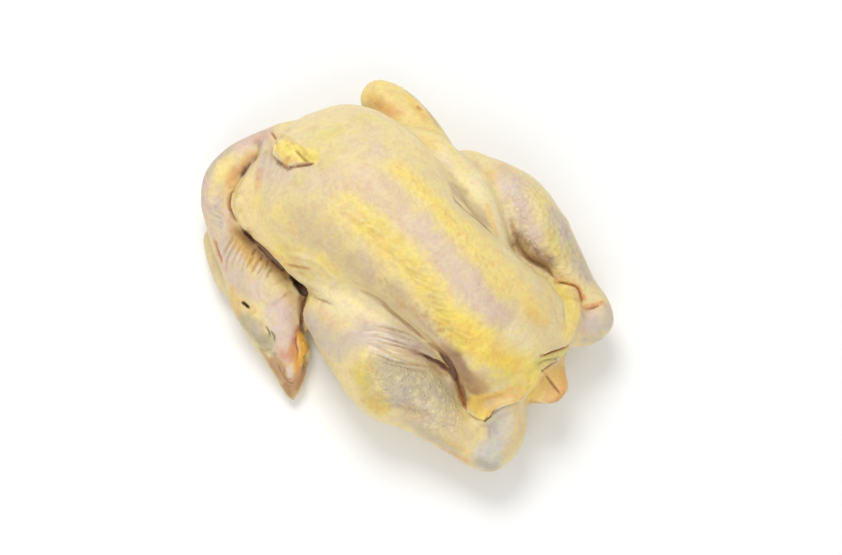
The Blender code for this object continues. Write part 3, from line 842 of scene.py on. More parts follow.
# %% [markdown]
# The near leg has pale skin over the thigh, lilac muscle round the knee and grey, pebbled skin on the
# drumstick. Its hock end is nearly white, and the loose flap of belly skin over it is golden.

# %% Wash the near leg
LEG_WASHES = [
    # The thigh and the knee
    ("bright cream", [(322, 298), (358, 306), (392, 324), (414, 338)], 4, 11),
    ("yellow", [(312, 300), (318, 310)], 0, 7, 0.5),
    ("warm cream", [(330, 360), (342, 378), (352, 392)], 2, 9, 0.7),
    ("lilac", [(312, 322), (326, 340), (346, 346)], 3, 10, 0.9),
    ("pink", [(322, 312), (332, 324)], 1, 5, 0.5),
    ("lilac", [(362, 334), (395, 340), (425, 352)], 3, 8, 0.85),
    ("warm cream", [(368, 358), (395, 368), (420, 368)], 1, 6, 0.7),
    # The drumstick
    ("pebble grey", [(388, 376), (415, 384), (440, 396)], 6, 11),
    ("grey lilac", [(384, 398), (404, 404), (424, 412)], 1, 7, 0.7),
    ("grey lilac", [(410, 422), (430, 434)], 1, 6, 0.6),
    ("warm cream", [(352, 360), (358, 376)], 1, 8, 0.5),
    ("olive", [(364, 374), (368, 388), (378, 403)], 3, 9, 0.9),
    ("gold", [(374, 400), (380, 408)], 0, 6, 0.5),
    ("beige", [(412, 412), (440, 424), (462, 440)], 4, 9, 0.9),
    ("pebble grey", [(424, 432), (450, 448)], 2, 7, 0.8),
    ("orange", [(438, 447), (458, 457), (478, 466)], 0, 3.2, 0.6),
    ("gold", [(446, 440), (468, 452)], 0, 4, 0.3),
    # The hock end
    ("shank white", [(500, 416), (498, 440), (486, 462)], 4, 7),
    ("beige", [(516, 412), (516, 432), (506, 452)], 1, 5, 0.7),
    ("blue grey", [(492, 446), (494, 462)], 1, 5, 0.7),
    ("hock grey", [(480, 462), (494, 470)], 0, 6, 0.8),
    # The near flap
    ("bright yellow", [(472, 404), (479, 411), (485, 416)], 1.2, 4.5, 0.75),
    ("gold", [(470, 400), (480, 408), (488, 413)], 0.8, 4, 0.6),
    ("gold", [(490, 414), (497, 404), (508, 400), (522, 397)], 1.2, 1.8, 0.8),
    ("yellow", [(496, 404), (510, 399)], 0, 1.8, 0.6),
]
washes(LEG_WASHES)

# %% [markdown]
# The neck is thin, so pink and lilac show along it, with orange and brown painted shade where it lies
# against the breast. The lump of fat is the clearest yellow of the bird. On the head the skin is pink
# at the cheek, grey green round the eye, orange at the wattle and brown along the beak.

# %% Wash the neck, the fat and the head
NECK_WASHES = [
    # The neck and the strand of skin beside it
    ("yellow", [(300, 130), (276, 134)], 0, 6, 0.5),
    ("grey lilac", [(266, 133), (250, 137), (228, 149), (212, 163), (204, 184), (202, 205)], 1.5, 6, 0.75),
    ("neck pink", [(240, 146), (256, 140), (272, 140)], 1, 7, 0.9),
    ("pink", [(258, 138), (268, 138), (277, 142)], 0.5, 5, 0.7),
    ("mauve brown", [(256, 142), (268, 144)], 0, 4, 0.5),
    ("yellow", [(228, 164), (220, 178), (213, 192)], 0.5, 6, 0.5),
    ("warm cream", [(214, 192), (212, 205)], 0, 5, 0.6),
    ("neck pink", [(206, 184), (205, 200), (208, 224)], 0.5, 6, 0.7),
    # Orange painted shade on the neck beside the breast
    ("orange", [(234, 170), (230, 178)], 0, 4, 0.6),
    ("lilac", [(224, 194), (220, 208), (222, 226), (228, 250), (238, 280)], 2.5, 8, 0.8),
    ("grey lilac", [(216, 208), (220, 222)], 0, 5, 0.6),
    ("neck pink", [(229, 190), (227, 212), (233, 230)], 0.5, 4, 0.9),
    ("neck pink", [(214, 238), (222, 262), (234, 286)], 0.5, 5, 0.7),
    # Orange and brown painted shade in the hollow where the neck lies against the breast
    ("orange", [(252, 158), (242, 170), (232, 184)], 1.0, 4.5, 0.75),
    ("brown", [(254, 159), (248, 166), (240, 177), (234, 190)], 0.3, 3.0, 0.8),
    ("orange", [(236, 180), (231, 192), (230, 206)], 0, 4, 0.6),
    ("warm cream", [(246, 176), (242, 186), (240, 196)], 0.5, 3, 0.9),
    ("lilac", [(266, 140), (263, 156), (260, 176)], 0.8, 3, 0.9),
    ("keel lilac", [(272, 150), (270, 166)], 0.5, 4, 0.7),
    ("orange", [(259, 172), (257, 186)], 0.6, 4.0, 0.5, 1.5),
    # The gap between the neck and the breast with painted shade beside it, the throat, and the near wing
    ("shadow brown", [(240, 237), (256, 254), (278, 277)], 3, 9, 0.9),
    ("gold", [(240, 246), (256, 262)], 0.5, 7, 0.4),
    ("brown", [(246, 238), (264, 255), (284, 276)], 0.3, 4.5, 0.7),
    ("beige", [(262, 284), (276, 292), (288, 298)], 1, 7, 0.6),
    ("beige", [(206, 238), (212, 256), (222, 276)], 0, 6, 0.7),
    # Orange painted shade in the slit beside the near wing
    ("orange", [(214, 240), (218, 250), (222, 262)], 0, 2.6, 0.7),
]
FAT_WASHES = [
    ("fat", [(280, 138), (290, 148), (312, 157)], 3.0, 2.6),
    ("fat", [(276, 146), (284, 156)], 1.5, 2.4),
    ("pink", [(271, 146), (273, 158)], 0.3, 2.2, 0.7),
    ("orange", [(283, 164), (288, 160)], 0, 3, 0.6),
    ("gold", [(284, 162), (296, 160)], 0, 2.5, 0.5),
    ("green yellow", [(286, 147), (298, 152)], 0, 3, 0.45),
]
HEAD_WASHES = [
    # The throat, the cheek and the ear
    ("cream", [(268, 283), (284, 297)], 3, 9, 0.8),
    ("head pink", [(256, 285), (270, 300), (284, 314)], 1, 7, 0.6),
    ("head pink", [(278, 312), (284, 330), (286, 346)], 4, 8),
    ("lilac", [(240, 284), (250, 296)], 1, 6, 0.6),
    ("ear rim", [(232, 290), (233, 304), (240, 316)], 0.5, 5, 0.8),
    ("ear rim", [(238, 300), (252, 310)], 1.0, 3.5, 0.5),
    # The eye
    ("eye grey", [(246, 322), (256, 333), (266, 345)], 2, 7, 0.95),
    ("lilac", [(250, 322), (258, 330)], 0, 5, 0.5),
    ("eye green", [(260, 342), (267, 340), (270, 336)], 0, 3.5, 0.6),
    # The beak
    ("shadow brown", [(262, 352), (274, 368), (284, 388)], 0, 4, 0.7),
    ("horn", [(276, 364), (284, 378), (290, 390)], 3, 5, 0.8),
    ("horn", [(300, 358), (301, 372), (296, 388)], 1.6, 3.5, 0.95),
    ("brown", [(288, 386), (291, 398)], 0, 4, 0.7),
    ("pink", [(281, 352), (288, 360)], 1, 4, 0.9),
    ("wattle red", [(283, 354), (290, 358)], 0, 4, 0.4),
    ("head pink", [(289, 369), (290, 375)], 0.8, 1.8, 0.95),
    # The gap beside the head with brown painted shade, and the wattle
    ("brown", [(301, 298), (300, 318), (300, 334)], 0.3, 3.2, 0.9),
    ("wattle red", [(298, 330), (294, 342), (293, 352)], 0, 3.5, 0.8),
    ("wattle", [(301, 338), (304, 350), (300, 362)], 2.2, 2.4),
    ("orange", [(292, 350), (296, 362), (298, 372)], 0.5, 3.2, 0.8),
]
washes(NECK_WASHES + FAT_WASHES + HEAD_WASHES)

# %% [markdown]
# The far wing and the web of skin below it are yellow and cream. The far leg has a lilac band down
# its thigh, olive and lilac towards the outside, and orange painted shade in the folds at the hock.
# The tail is tan, with the yellow skin of the vent above it.

# %% Wash the far wing, the far leg and the tail
WING_WASHES = [
    ("yellow", [(365, 86), (385, 92), (410, 112), (436, 140)], 5, 10, 0.75),
    ("orange", [(374, 100), (386, 108), (396, 112)], 0.5, 7, 0.55),
    ("gold", [(408, 96), (425, 118)], 0, 5, 0.5),
    # Painted shade along the far edge of the wing
    ("mauve brown", [(408, 92), (424, 106), (438, 126)], 0, 3, 0.5),
    ("wattle red", [(419, 108)], 0.3, 2.2, 0.8),
    ("bright cream", [(440, 152), (466, 170), (488, 200), (504, 234), (509, 250)], 3, 8, 0.85),
    ("gold", [(420, 140), (436, 148)], 0, 6, 0.4),
]
FAR_LEG_WASHES = [
    # Painted shade in the hollow between the breast and the web
    ("grey beige", [(456, 190), (467, 204), (482, 221)], 3.4, 3.5, 0.95),
    ("shadow brown", [(457, 190), (466, 202), (480, 219)], 0.5, 4.0, 0.25),
    ("cream", [(468, 200), (478, 210)], 0.5, 4, 0.4),
    ("mauve brown", [(456, 186), (464, 192)], 0, 4.5, 0.35),
    # The web and the thigh
    ("yellow", [(452, 153), (468, 169)], 1, 6, 0.5),
    ("gold", [(487, 206), (492, 222), (496, 234)], 0, 3, 0.7),
    ("orange", [(491, 174), (500, 180)], 0, 6, 0.4),
    ("pink", [(506, 168), (522, 184)], 0, 8, 0.6),
    ("keel lilac", [(510, 180), (518, 208), (530, 236)], 3, 8, 0.95),
    ("lilac", [(518, 206), (524, 226)], 0, 4, 0.4),
    ("bright cream", [(510, 205), (515, 226)], 1, 4, 0.5),
    ("yellow", [(542, 192), (548, 210)], 0.5, 6, 0.4),
    ("olive", [(548, 230), (554, 246), (562, 262)], 0.5, 5, 0.4),
    # The mauve skin beside the far crease, darkened with painted shade
    ("mauve brown", [(521, 240), (532, 252), (546, 262)], 2.4, 5, 0.95),
    ("brown", [(518, 244), (530, 256), (544, 265)], 0.2, 3, 0.5),
    ("lilac", [(557, 218), (570, 244), (586, 272)], 3.5, 8, 0.9),
    ("warm cream", [(566, 272), (580, 286)], 1, 6, 0.7),
    # Orange painted shade in the folds of the hock, and the far flap
    ("orange", [(557, 281), (567, 283), (577, 287), (583, 298)], 0.4, 2.8, 0.9),
    ("orange", [(584, 307), (592, 306), (602, 303)], 0.3, 2.6, 0.9),
    ("keel lilac", [(592, 322), (606, 318)], 4, 8, 0.9),
    ("blue grey", [(594, 326), (606, 322)], 2, 6, 0.4),
    ("grey lilac", [(584, 340), (600, 340)], 0, 5, 0.6),
    ("yellow", [(562, 292), (572, 312), (570, 334)], 2.5, 6),
    ("bright yellow", [(566, 298), (574, 316)], 1, 5, 0.5),
    ("gold", [(576, 296), (578, 308)], 0, 3.5, 0.5),
    ("gold", [(546, 286), (552, 300)], 0, 5, 0.35),
]
TAIL_WASHES = [
    ("yellow", [(527, 368), (538, 382), (530, 398)], 2, 6),
    ("bright yellow", [(526, 366), (531, 380), (529, 395)], 1.0, 4.5, 0.6),
    ("gold", [(540, 378), (545, 393)], 0.5, 4, 0.4),
    ("green yellow", [(538, 363), (552, 357), (566, 352)], 1.2, 4, 0.85),
    ("tail tan", [(548, 372), (558, 386), (560, 398)], 4, 6, 0.9),
    ("tail tan", [(562, 362), (566, 374)], 2, 4, 0.8),
    ("orange", [(564, 372), (564, 392), (556, 402)], 0.2, 4, 0.7),
    ("gold", [(552, 366), (562, 374)], 0, 4, 0.5),
    ("burnt orange", [(530, 402), (545, 404), (558, 402)], 0, 2.4, 0.6),
    # Painted shade in the fold of the vent
    ("burnt orange", VENT, 0, 1.9, 0.7),
]
washes(WING_WASHES + FAR_LEG_WASHES + TAIL_WASHES)

# %% [markdown]
# Up close the skin is speckled, since fat lies under it in grains and small vessels redden it. Small
# soft dabs of a tone are scattered round a line for that, each group by its own seeded draw, so that
# a change to one group leaves the others as they are.


# %% Dab small spots over the washes
def dabs(tone, line, spread, size, count, strength, seed):
    """Small soft spots of a tone, scattered round a line in the picture."""
    turns = random.Random(seed)
    path = curve(line, 40)
    for k in range(count):
        x, y = path[turns.randrange(40)]
        place = (x + turns.gauss(0, spread), y + turns.gauss(0, spread))
        wash(tone, [place], 0.2 * size, size * turns.uniform(0.6, 1.3), strength * turns.uniform(0.4, 1.0))


# Each row is a tone, a line, spread and size, the number of dabs, their strength and the seed
DABS = [
    ("warm cream", [(350, 240), (395, 285), (430, 318)], 7, 5, 20, 0.5, 32),
    ("keel pink", [(400, 305), (440, 345)], 5, 4, 14, 0.6, 33),
    ("gold", NEAR_TRACT, 6, 4, 14, 0.25, 34),
    ("green yellow", NEAR_TRACT, 7, 5, 16, 0.35, 35),
    ("gold", [(526, 304), (546, 326)], 5, 3, 9, 0.4, 36),
    ("gold", [(470, 330), (500, 355), (530, 390)], 7, 4, 14, 0.4, 37),
    ("bright yellow", [(470, 345), (500, 370), (520, 380)], 6, 4, 12, 0.5, 38),
    ("green yellow", [(500, 372), (530, 380)], 5, 4, 8, 0.5, 39),
    ("warm cream", [(372, 372), (382, 396)], 6, 3, 14, 0.5, 40),
    ("brown", [(380, 282), (410, 308), (444, 336)], 5, 1.6, 26, 0.3, 31),
    ("orange", [(398, 300), (424, 322), (446, 340)], 4, 2.4, 12, 0.4, 41),
    ("bright cream", [(392, 385), (420, 400), (436, 424)], 9, 2.0, 70, 0.55, 42),
    ("grey lilac", [(392, 385), (420, 400), (436, 424)], 9, 2.5, 40, 0.5, 43),
    ("bright cream", [(511, 205), (524, 240), (540, 258)], 5, 1.4, 34, 0.75, 44),
    ("green yellow", [(545, 200), (565, 260)], 7, 4, 18, 0.4, 45),
    ("keel lilac", [(360, 140), (380, 150)], 8, 6, 10, 0.4, 46),
    ("green yellow", [(360, 110), (330, 130), (300, 200)], 10, 6, 16, 0.35, 47),
    ("yellow", [(250, 200), (300, 225)], 7, 5, 16, 0.4, 48),
    ("head pink", [(240, 262), (262, 296)], 6, 4, 12, 0.5, 49),
    ("eye green", [(250, 328), (268, 342)], 4, 2, 10, 0.4, 50),
    ("green yellow", [(282, 142), (302, 154)], 3, 1.8, 9, 0.5, 51),
    ("mauve brown", [(524, 238), (540, 254)], 4, 1.8, 16, 0.5, 52),
    ("keel lilac", [(522, 232), (536, 250)], 4, 1.3, 22, 0.8, 53),
    ("green yellow", [(356, 206), (392, 232), (420, 262)], 6, 2.2, 20, 0.3, 54),
    ("lilac", [(470, 268), (500, 310)], 7, 4, 10, 0.35, 55),
    ("yellow", [(420, 210), (470, 262)], 8, 4, 14, 0.35, 56),
    ("cream", NEAR_TRACT, 8, 2.6, 40, 0.4, 57),
    ("cream", FAR_TRACT, 6, 2.6, 24, 0.4, 58),
    ("keel pink", NEAR_TRACT, 12, 4, 12, 0.25, 59),
    ("beige", [(280, 180), (330, 210), (360, 160)], 16, 5, 16, 0.35, 60),
]
for row in DABS:
    dabs(*row)
print("groups of dabs:", len(DABS))

# %% [markdown]
# Thin wrinkles are light on top, and each ridge of a tract has a warm shade below it. The mesh is
# too coarse to shade them well by its form alone, so faint lines of painted highlight and painted
# shade go along them.

# %% Line the tops of the wrinkles and the feet of the ridges
FOOT_OF_RIDGE = 1.4
leg_tops = between([(358, 333), (376, 331), (396, 335), (416, 343)],
                   [(366, 350), (384, 356), (400, 361), (418, 362)], 7, 1.2, 5)
# Painted highlight on the tops of the leg wrinkles
for line in leg_tops:
    wash("wrinkle highlight", line, 0, 1.5, 0.65, 0.6, 0.4)
# Painted shade at the foot of each tract ridge
for rows, strength in ((near_rows, 0.28), (far_rows, 0.2)):
    for ends, *rest in rows:
        wash("tract shade", [(x, y + FOOT_OF_RIDGE) for x, y in ends], 0.0, 1.1, strength, 0.6, 0.4)
# Brown painted shade along the furrows that cross the flank
for ends, *rest in cross_rows:
    wash("brown", ends, 0.0, 1.0, 0.3, 0.6, 0.4)
print("lines:", len(leg_tops), "on the leg,", len(near_rows + far_rows + cross_rows), "on the breast")

# %% [markdown]
# The photograph shows the bird from one side only. The skin that faces away gets the same fat, pink
# and lilac in soft patches, scattered by a seeded draw, so that it is the same skin all round.

# %% Mottle the skin that faces away
AWAY_TONES = [("yellow", 0.6), ("warm cream", 0.6), ("keel pink", 0.5), ("lilac", 0.45),
              ("green yellow", 0.3), ("grey beige", 0.45), ("bright yellow", 0.25)]
AWAY_PATCHES = 170
away_turns = random.Random(61)
facing_camera = clay.normals @ np.array(toward_camera)
facing_away = np.nonzero(facing_camera < 0.2)[0]
for _ in range(AWAY_PATCHES):
    tone, strength = away_turns.choice(AWAY_TONES)
    place = clay.places[facing_away[away_turns.randrange(len(facing_away))]] / MM
    soft = away_turns.uniform(5.0, 13.0)
    wash(tone, [tuple(place)], 1.0, soft, strength * away_turns.uniform(0.6, 1.0), 1.6)
print("patches:", AWAY_PATCHES, "over", len(facing_away), "points that face away")

# %% [markdown]
# The creases are deep, so they get painted shade, brown at the rim and nearly black at the bottom.
# Most have two or three lines over one another, from wide and pale to narrow and dark. They go on
# after the washes, and they cover the steep walls of a gap too. A few rows on the face are the skin's
# own colour, such as the horn of the beak and the wattle.

# %% Paint shade into the creases and the slits
# Painted shade in the creases, gaps and slits, and a few marks of the face's own colour
# Each row is a tone, a line, reach and soft edge in millimetres, strength and the taper to its ends
CREASE_SHADE_AND_FACE_MARKS = [
    # Between the near leg and the belly
    ("shadow brown", NEAR_CREASE, 0.2, 3.0, 0.5, 0.3),
    ("brown", NEAR_CREASE[1:], 0.0, 1.3, 0.75, 0.3),
    ("brown", [(425, 342), (440, 350), (450, 360)], 0.5, 3.2, 0.7, 0.3),
    ("brown", NEAR_CREASE_DEEP, 1.0, 3.0, 0.9, 0.25),
    ("dark brown", [(438, 350), (446, 360), (453, 371), (458, 384)], 1.2, 2.6, 0.9, 0.3),
    ("dark brown", [(448, 362), (458, 384), (463, 399)], 0.1, 1.5, 0.8, 0.35),
    ("burnt orange", [(459, 386), (463, 399), (467, 412)], 0.2, 1.7, 0.85, 0.3),
    ("brown", NEAR_SECOND_FOLD, 0.2, 2.0, 0.8, 0.35),
    ("brown", [(424, 360), (438, 368), (450, 378)], 0.8, 4.0, 0.45, 0.35),
    ("dark brown", [(420, 354), (436, 361), (451, 372)], 0.6, 1.8, 0.85, 0.3),
    ("dark brown", [(438, 363), (446, 368), (454, 376)], 1.0, 1.8, 0.7, 0.3),
    # At the far leg, its hock and the flank
    ("brown", FAR_CREASE[2:], 0.5, 2.2, 0.8, 0.3),
    ("dark brown", FAR_CREASE[3:6], 0.1, 1.2, 0.5, 0.35),
    ("burnt orange", FAR_HOCK_FOLD, 0.0, 1.4, 0.8, 0.3),
    ("dark brown", FAR_HOCK_FOLD[:2], 0.0, 1.0, 0.6, 0.3),
    ("burnt orange", FAR_SHANK_FOLD, 0.0, 1.1, 0.8, 0.3),
    ("brown", FLANK_CREASE, 0.0, 1.8, 0.85, 0.3),
    # Between the neck and the breast, and between the head and the near leg
    ("brown", [(250, 238), (263, 249), (275, 261), (286, 271)], 3.0, 3.0, 0.75, 0.25),
    ("brown", NECK_GAP, 1.0, 2.2, 0.9, 0.3),
    ("dark brown", NECK_GAP, 1.2, 1.0, 0.95, 0.3),
    ("dark brown", [(256, 244), (263, 251), (271, 259), (279, 267), (286, 274)], 0.5, 1.3, 0.9, 0.15),
    ("near black", NECK_GAP[3:], 0.3, 1.0, 0.8, 0.3),
    ("near black", [(288, 273), (298, 284), (306, 292)], 1.6, 1.2, 1.0, 0.3),
    ("near black", [(297, 284), (304, 291)], 2.6, 1.0, 1.0, 0.0),
    ("dark brown", [(298, 285), (306, 292), (305, 298)], 0.8, 1.6, 1.0, 0.2),
    ("brown", HEAD_GAP, 0.6, 2.0, 0.8, 0.2),
    ("dark brown", HEAD_GAP, 0.1, 1.0, 0.8, 0.3),
    ("olive brown", [(253, 160), (247, 168), (239, 180)], 0.3, 2.0, 0.8, 0.35),
    ("dark brown", [(251, 163), (246, 170), (239, 180)], 0.1, 1.6, 0.75, 0.35),
    ("brown", NECK_INNER_CREASE[2:], 0.3, 2.6, 0.7, 0.25),
    ("dark brown", NECK_INNER_CREASE[2:5], 0.0, 1.2, 0.5, 0.35),
    # Painted shadow round the lump of fat
    ("brown", [(270, 131), (275, 138), (277, 145)], 0.0, 1.2, 0.8, 0.3),
    ("brown", [(272, 154), (279, 163), (288, 168), (300, 165), (316, 163)], 0.4, 1.6, 0.9, 0.15),
    ("dark brown", [(274, 157), (281, 163), (288, 168), (298, 166)], 0.2, 1.4, 0.75, 0.3),
    ("wattle red", [(283, 167), (289, 167)], 0.1, 1.6, 0.8, 0.3),
    ("olive brown", [(294, 149), (300, 155), (304, 160), (312, 163)], 0.0, 1.1, 0.7, 0.3),
    # Small folds at the throat, the shoulder and the hock end
    ("burnt orange", [(214, 240), (218, 250), (223, 263)], 0.0, 1.1, 0.6, 0.35),
    ("burnt orange", [(286, 264), (298, 266), (312, 269)], 0.0, 0.9, 0.5, 0.35),
    ("brown", [(307, 292), (320, 299), (334, 304)], 0.0, 1.1, 0.7, 0.35),
    ("mauve brown", [(488, 424), (489, 432), (489, 441)], 0.0, 1.4, 0.5, 0.4),
    # Painted shade in the ear, the lids and the mouth, and the colour of the wattle and the beak
    ("near black", EAR, 0.7, 0.9, 1.0, 0.35),
    ("lid green", LID, 0.0, 0.9, 0.9, 0.35),
    ("lid green", LOWER_LID, 0.0, 0.9, 0.9, 0.35),
    ("eye green", [(275, 354)], 0.4, 1.8, 0.9, 0.0),
    ("brown", MOUTH, 0.0, 1.0, 0.85, 0.25),
    ("brown", BEAK_FOLD, 0.0, 0.9, 0.5, 0.3),
    ("burnt orange", [(297, 334), (296, 344), (299, 354)], 0.0, 1.2, 0.7, 0.3),
    ("wattle", [(308, 342), (308, 354)], 0.8, 2.2, 0.8, 0.3),
    ("horn", [(308, 358), (305, 370), (300, 382), (295, 393)], 1.0, 2.4, 0.8, 0.3),
    ("dark brown", [(302, 318), (302, 328), (305, 334)], 0.1, 1.1, 0.8, 0.3),
    # The near flap, the vent and the tail
    ("dark brown", [(484, 421), (489, 418), (493, 412), (498, 407)], 0.1, 1.0, 0.9, 0.4),
    ("dark brown", [(485, 421), (488, 418)], 0.5, 0.9, 0.8, 0.0),
    ("burnt orange", NEAR_FLAP_EDGE, 0.0, 1.1, 0.5, 0.3),
    ("burnt orange", VENT, 0.2, 1.6, 0.7, 0.3),
    ("dark brown", VENT, 0.0, 0.8, 0.5, 0.4),
    ("lid green", [(556, 358)], 0.2, 1.3, 0.7, 0.0),
    ("lid green", [(567, 357), (566, 354)], 0.2, 1.2, 0.8, 0.0),
    ("brown", TAIL_FOLD, 0.0, 1.1, 0.75, 0.25),
    ("brown", TAIL_ROOT_FOLD, 0.1, 1.1, 0.8, 0.25),
    ("olive brown", TAIL_FOLD[:1], 0.0, 1.1, 0.8, 0.0),
]
for tone, points, reach, soft, strength, taper in CREASE_SHADE_AND_FACE_MARKS:
    wash(tone, points, reach, soft, strength, 0.3, taper, walls=True)
print("deep marks:", len(CREASE_SHADE_AND_FACE_MARKS))

# %% [markdown]
# The map of valleys and ridges made before now shades all the small folds at once: a valley is
# multiplied by a warm brown, and a ridge moves a little of the way to white.

# %% Shade the valleys and lighten the ridges
VALLEY_SHADE = np.array((0.68, 0.54, 0.42))
RIDGE_LIGHT = np.array((0.12, 0.12, 0.11))
colour *= 1 - valleys[:, None] * (1 - VALLEY_SHADE)
colour += ridges[:, None] * RIDGE_LIGHT * (1 - colour)
print("points in valleys:", int((valleys > 0.5).sum()), "on ridges:", int((ridges > 0.5).sum()))

# %% [markdown]
# Three textures come and go over the skin: the pits of follicles, the pebbles of the drumstick and
# the grain of fat. Each is a number from 0 to 1 at every point, laid along lines as a wash is. The
# skin that faces away has follicles all over, as its tracts aren't seen.


# %% Mark where the textures show
FOLLICLES_FACING_AWAY = 0.55
marks = {name: np.zeros(len(clay.places)) for name in ("follicles", "pebbles", "fat")}
marks["follicles"] += FOLLICLES_FACING_AWAY * fade((0.35 - facing_camera) / 0.5)


def mark(name, points, reach, soft, strength=1.0):
    """Raises a texture's number to the cover of a line, where it isn't higher yet."""
    near, cover = coverage(points, reach, soft, strength)
    marks[name][near] = np.maximum(marks[name][near], cover)


# Each row is a texture, a line, reach and soft edge in millimetres and strength
MARKS = [
    ("follicles", [(344, 207), (390, 246), (430, 292), (470, 345)], 10, 14, 0.6),
    ("follicles", [(398, 168), (442, 208), (502, 288)], 5, 10, 0.6),
    ("follicles", [(530, 190), (550, 230), (570, 270)], 8, 12),
    ("follicles", [(210, 170), (204, 200), (210, 230)], 4, 8, 0.6),
    ("pebbles", [(386, 380), (415, 392), (440, 412)], 8, 12),
    ("pebbles", [(514, 200), (524, 240), (546, 262)], 3, 7, 0.5),
    ("fat", NEAR_TRACT, 6, 9),
    ("fat", [(470, 335), (500, 352)], 6, 14),
    ("fat", FAR_TRACT, 3, 8, 0.8),
    ("fat", [(285, 143), (305, 154)], 4, 4, 0.7),
]
for row in MARKS:
    mark(*row)
print("texture marks:", len(MARKS))

# %% [markdown]
# So far the paint is only arrays. It is stored on the mesh as attributes of its points, a colour for
# the tone and a number for each texture, where the material can read it without unwrapping the skin.

# %% Store the paint on the mesh
mesh = chicken.data
tone_layer = mesh.color_attributes.new("tone", "FLOAT_COLOR", "POINT")
tone_layer.data.foreach_set("color", np.hstack([colour, np.ones((len(colour), 1))]).ravel())
for name, values in marks.items():
    layer = mesh.attributes.new(name, "FLOAT", "POINT")
    layer.data.foreach_set("value", values)
mesh.shade_smooth()
print("stored:", [layer.name for layer in mesh.attributes if not layer.is_internal][-4:])

# %% [markdown]
# The paint alone would look like chalk, as it has no grain and no gloss. So the finish is mixed from
# nodes over the painted tone. A few helpers keep that short: one adds a node, one reads a painted
# attribute, and the others make a ramp, a blend, a product and a texture that sits in the space of
# the bird itself.


# %% Helpers for the skin's nodes
skin = bpy.data.materials.new("raw skin")
skin.use_nodes = True
nodes, links = skin.node_tree.nodes, skin.node_tree.links
shader = nodes["Principled BSDF"]


def add(kind, **settings):
    """A node of a kind, with plain settings as attributes and socket values by name."""
    made = nodes.new("ShaderNode" + kind)
    for key, value in settings.items():
        if hasattr(made, key):
            setattr(made, key, value)
        else:
            made.inputs[key.replace("_", " ")].default_value = value
    return made


def painted(name, output="Fac"):
    """The output of a painted attribute, a number or with "Color" a colour."""
    found = add("Attribute", attribute_name=name)
    return found.outputs[output]


def ramp(source, stops):
    """A colour ramp through stops of position and grey value or colour."""
    made = nodes.new("ShaderNodeValToRGB")
    made.color_ramp.elements.remove(made.color_ramp.elements[1])
    for k, (place, value) in enumerate(stops):
        stop = made.color_ramp.elements[0] if k == 0 else made.color_ramp.elements.new(place)
        stop.position = place
        stop.color = (value, value, value, 1) if isinstance(value, (int, float)) else (*value, 1)
    links.new(source, made.inputs["Fac"])
    return made.outputs["Color"]


def blend(kind, below, above, amount):
    """One colour over another by a Mix node of a kind."""
    made = nodes.new("ShaderNodeMix")
    made.data_type = "RGBA"
    made.blend_type = kind
    if isinstance(amount, float):
        made.inputs["Factor"].default_value = amount
    else:
        links.new(amount, made.inputs["Factor"])
    links.new(below, made.inputs["A"])
    if isinstance(above, tuple):
        made.inputs["B"].default_value = (*above, 1)
    else:
        links.new(above, made.inputs["B"])
    return made.outputs["Result"]


def times(a, b):
    """The product of an output and a number or another output."""
    made = nodes.new("ShaderNodeMath")
    made.operation = "MULTIPLY"
    links.new(a, made.inputs[0])
    if isinstance(b, float):
        made.inputs[1].default_value = b
    else:
        links.new(b, made.inputs[1])
    return made.outputs[0]


where = add("TexCoord").outputs["Object"]


def textured(kind, output, **settings):
    """The output of a texture node that is placed on the bird itself."""
    made = add(kind, **settings)
    links.new(where, made.inputs["Vector"])
    return made.outputs[output]


# %% [markdown]
# Soft blotches and a mottle shift the tone between pink and yellow, and a fine grain speckles it.
# Cells give the goose pimples of the tracts, with a brown pit in each, and smaller cells give the
# pebbles of the drumstick, grey between them and creamy on top.

# %% Mottle, pits, pebbles and fat in the tone
PIT_BROWN, PEBBLE_GREY = (0.66, 0.46, 0.24), (0.40, 0.33, 0.26)
PEBBLE_CREAM, FAT_YELLOW = (0.78, 0.70, 0.50), (0.90, 0.75, 0.28)
EVEN = (1.0, 1.0, 1.0)

blotches = textured("TexNoise", "Fac", Scale=55.0, Detail=4.0, Roughness=0.6)
mottle = textured("TexNoise", "Fac", Scale=150.0, Detail=3.0, Roughness=0.55)
grain = textured("TexNoise", "Fac", Scale=420.0, Detail=3.0, Roughness=0.6)
crinkle = textured("TexNoise", "Fac", Scale=190.0, Detail=6.0, Roughness=0.65, Distortion=1.2)
cells = textured("TexVoronoi", "Distance", Scale=300.0, Randomness=0.85)
small_cells = textured("TexVoronoi", "Distance", Scale=420.0, Randomness=1.0)

tone = painted("tone", "Color")
pink_to_yellow = ramp(blotches, [(0.3, (1.0, 0.95, 0.94)), (0.5, EVEN), (0.7, (1.02, 1.01, 0.88))])
lilac_to_yellow = ramp(mottle, [(0.32, (0.96, 0.90, 0.93)), (0.5, EVEN), (0.68, (1.03, 1.04, 0.87))])
speckles = ramp(grain, [(0.3, 0.93), (0.5, 1.0), (0.7, 1.05)])
for layer in (pink_to_yellow, lilac_to_yellow, speckles):
    tone = blend("MULTIPLY", tone, layer, 1.0)
dome = ramp(cells, [(0.0, 1.0), (0.35, 0.6), (0.7, 0.0)])
pit = ramp(cells, [(0.0, 1.0), (0.12, 0.0)])
tone = blend("MIX", tone, PIT_BROWN, times(times(pit, painted("follicles")), 0.3))
pebble_valley = ramp(small_cells, [(0.35, 0.0), (0.85, 1.0)])
pebble_top = ramp(small_cells, [(0.0, 1.0), (0.45, 0.0)])
tone = blend("MIX", tone, PEBBLE_GREY, times(times(pebble_valley, painted("pebbles")), 0.45))
tone = blend("MIX", tone, PEBBLE_CREAM, times(times(pebble_top, painted("pebbles")), 0.35))
tone = blend("MIX", tone, FAT_YELLOW, times(times(pebble_top, painted("fat")), 0.12))
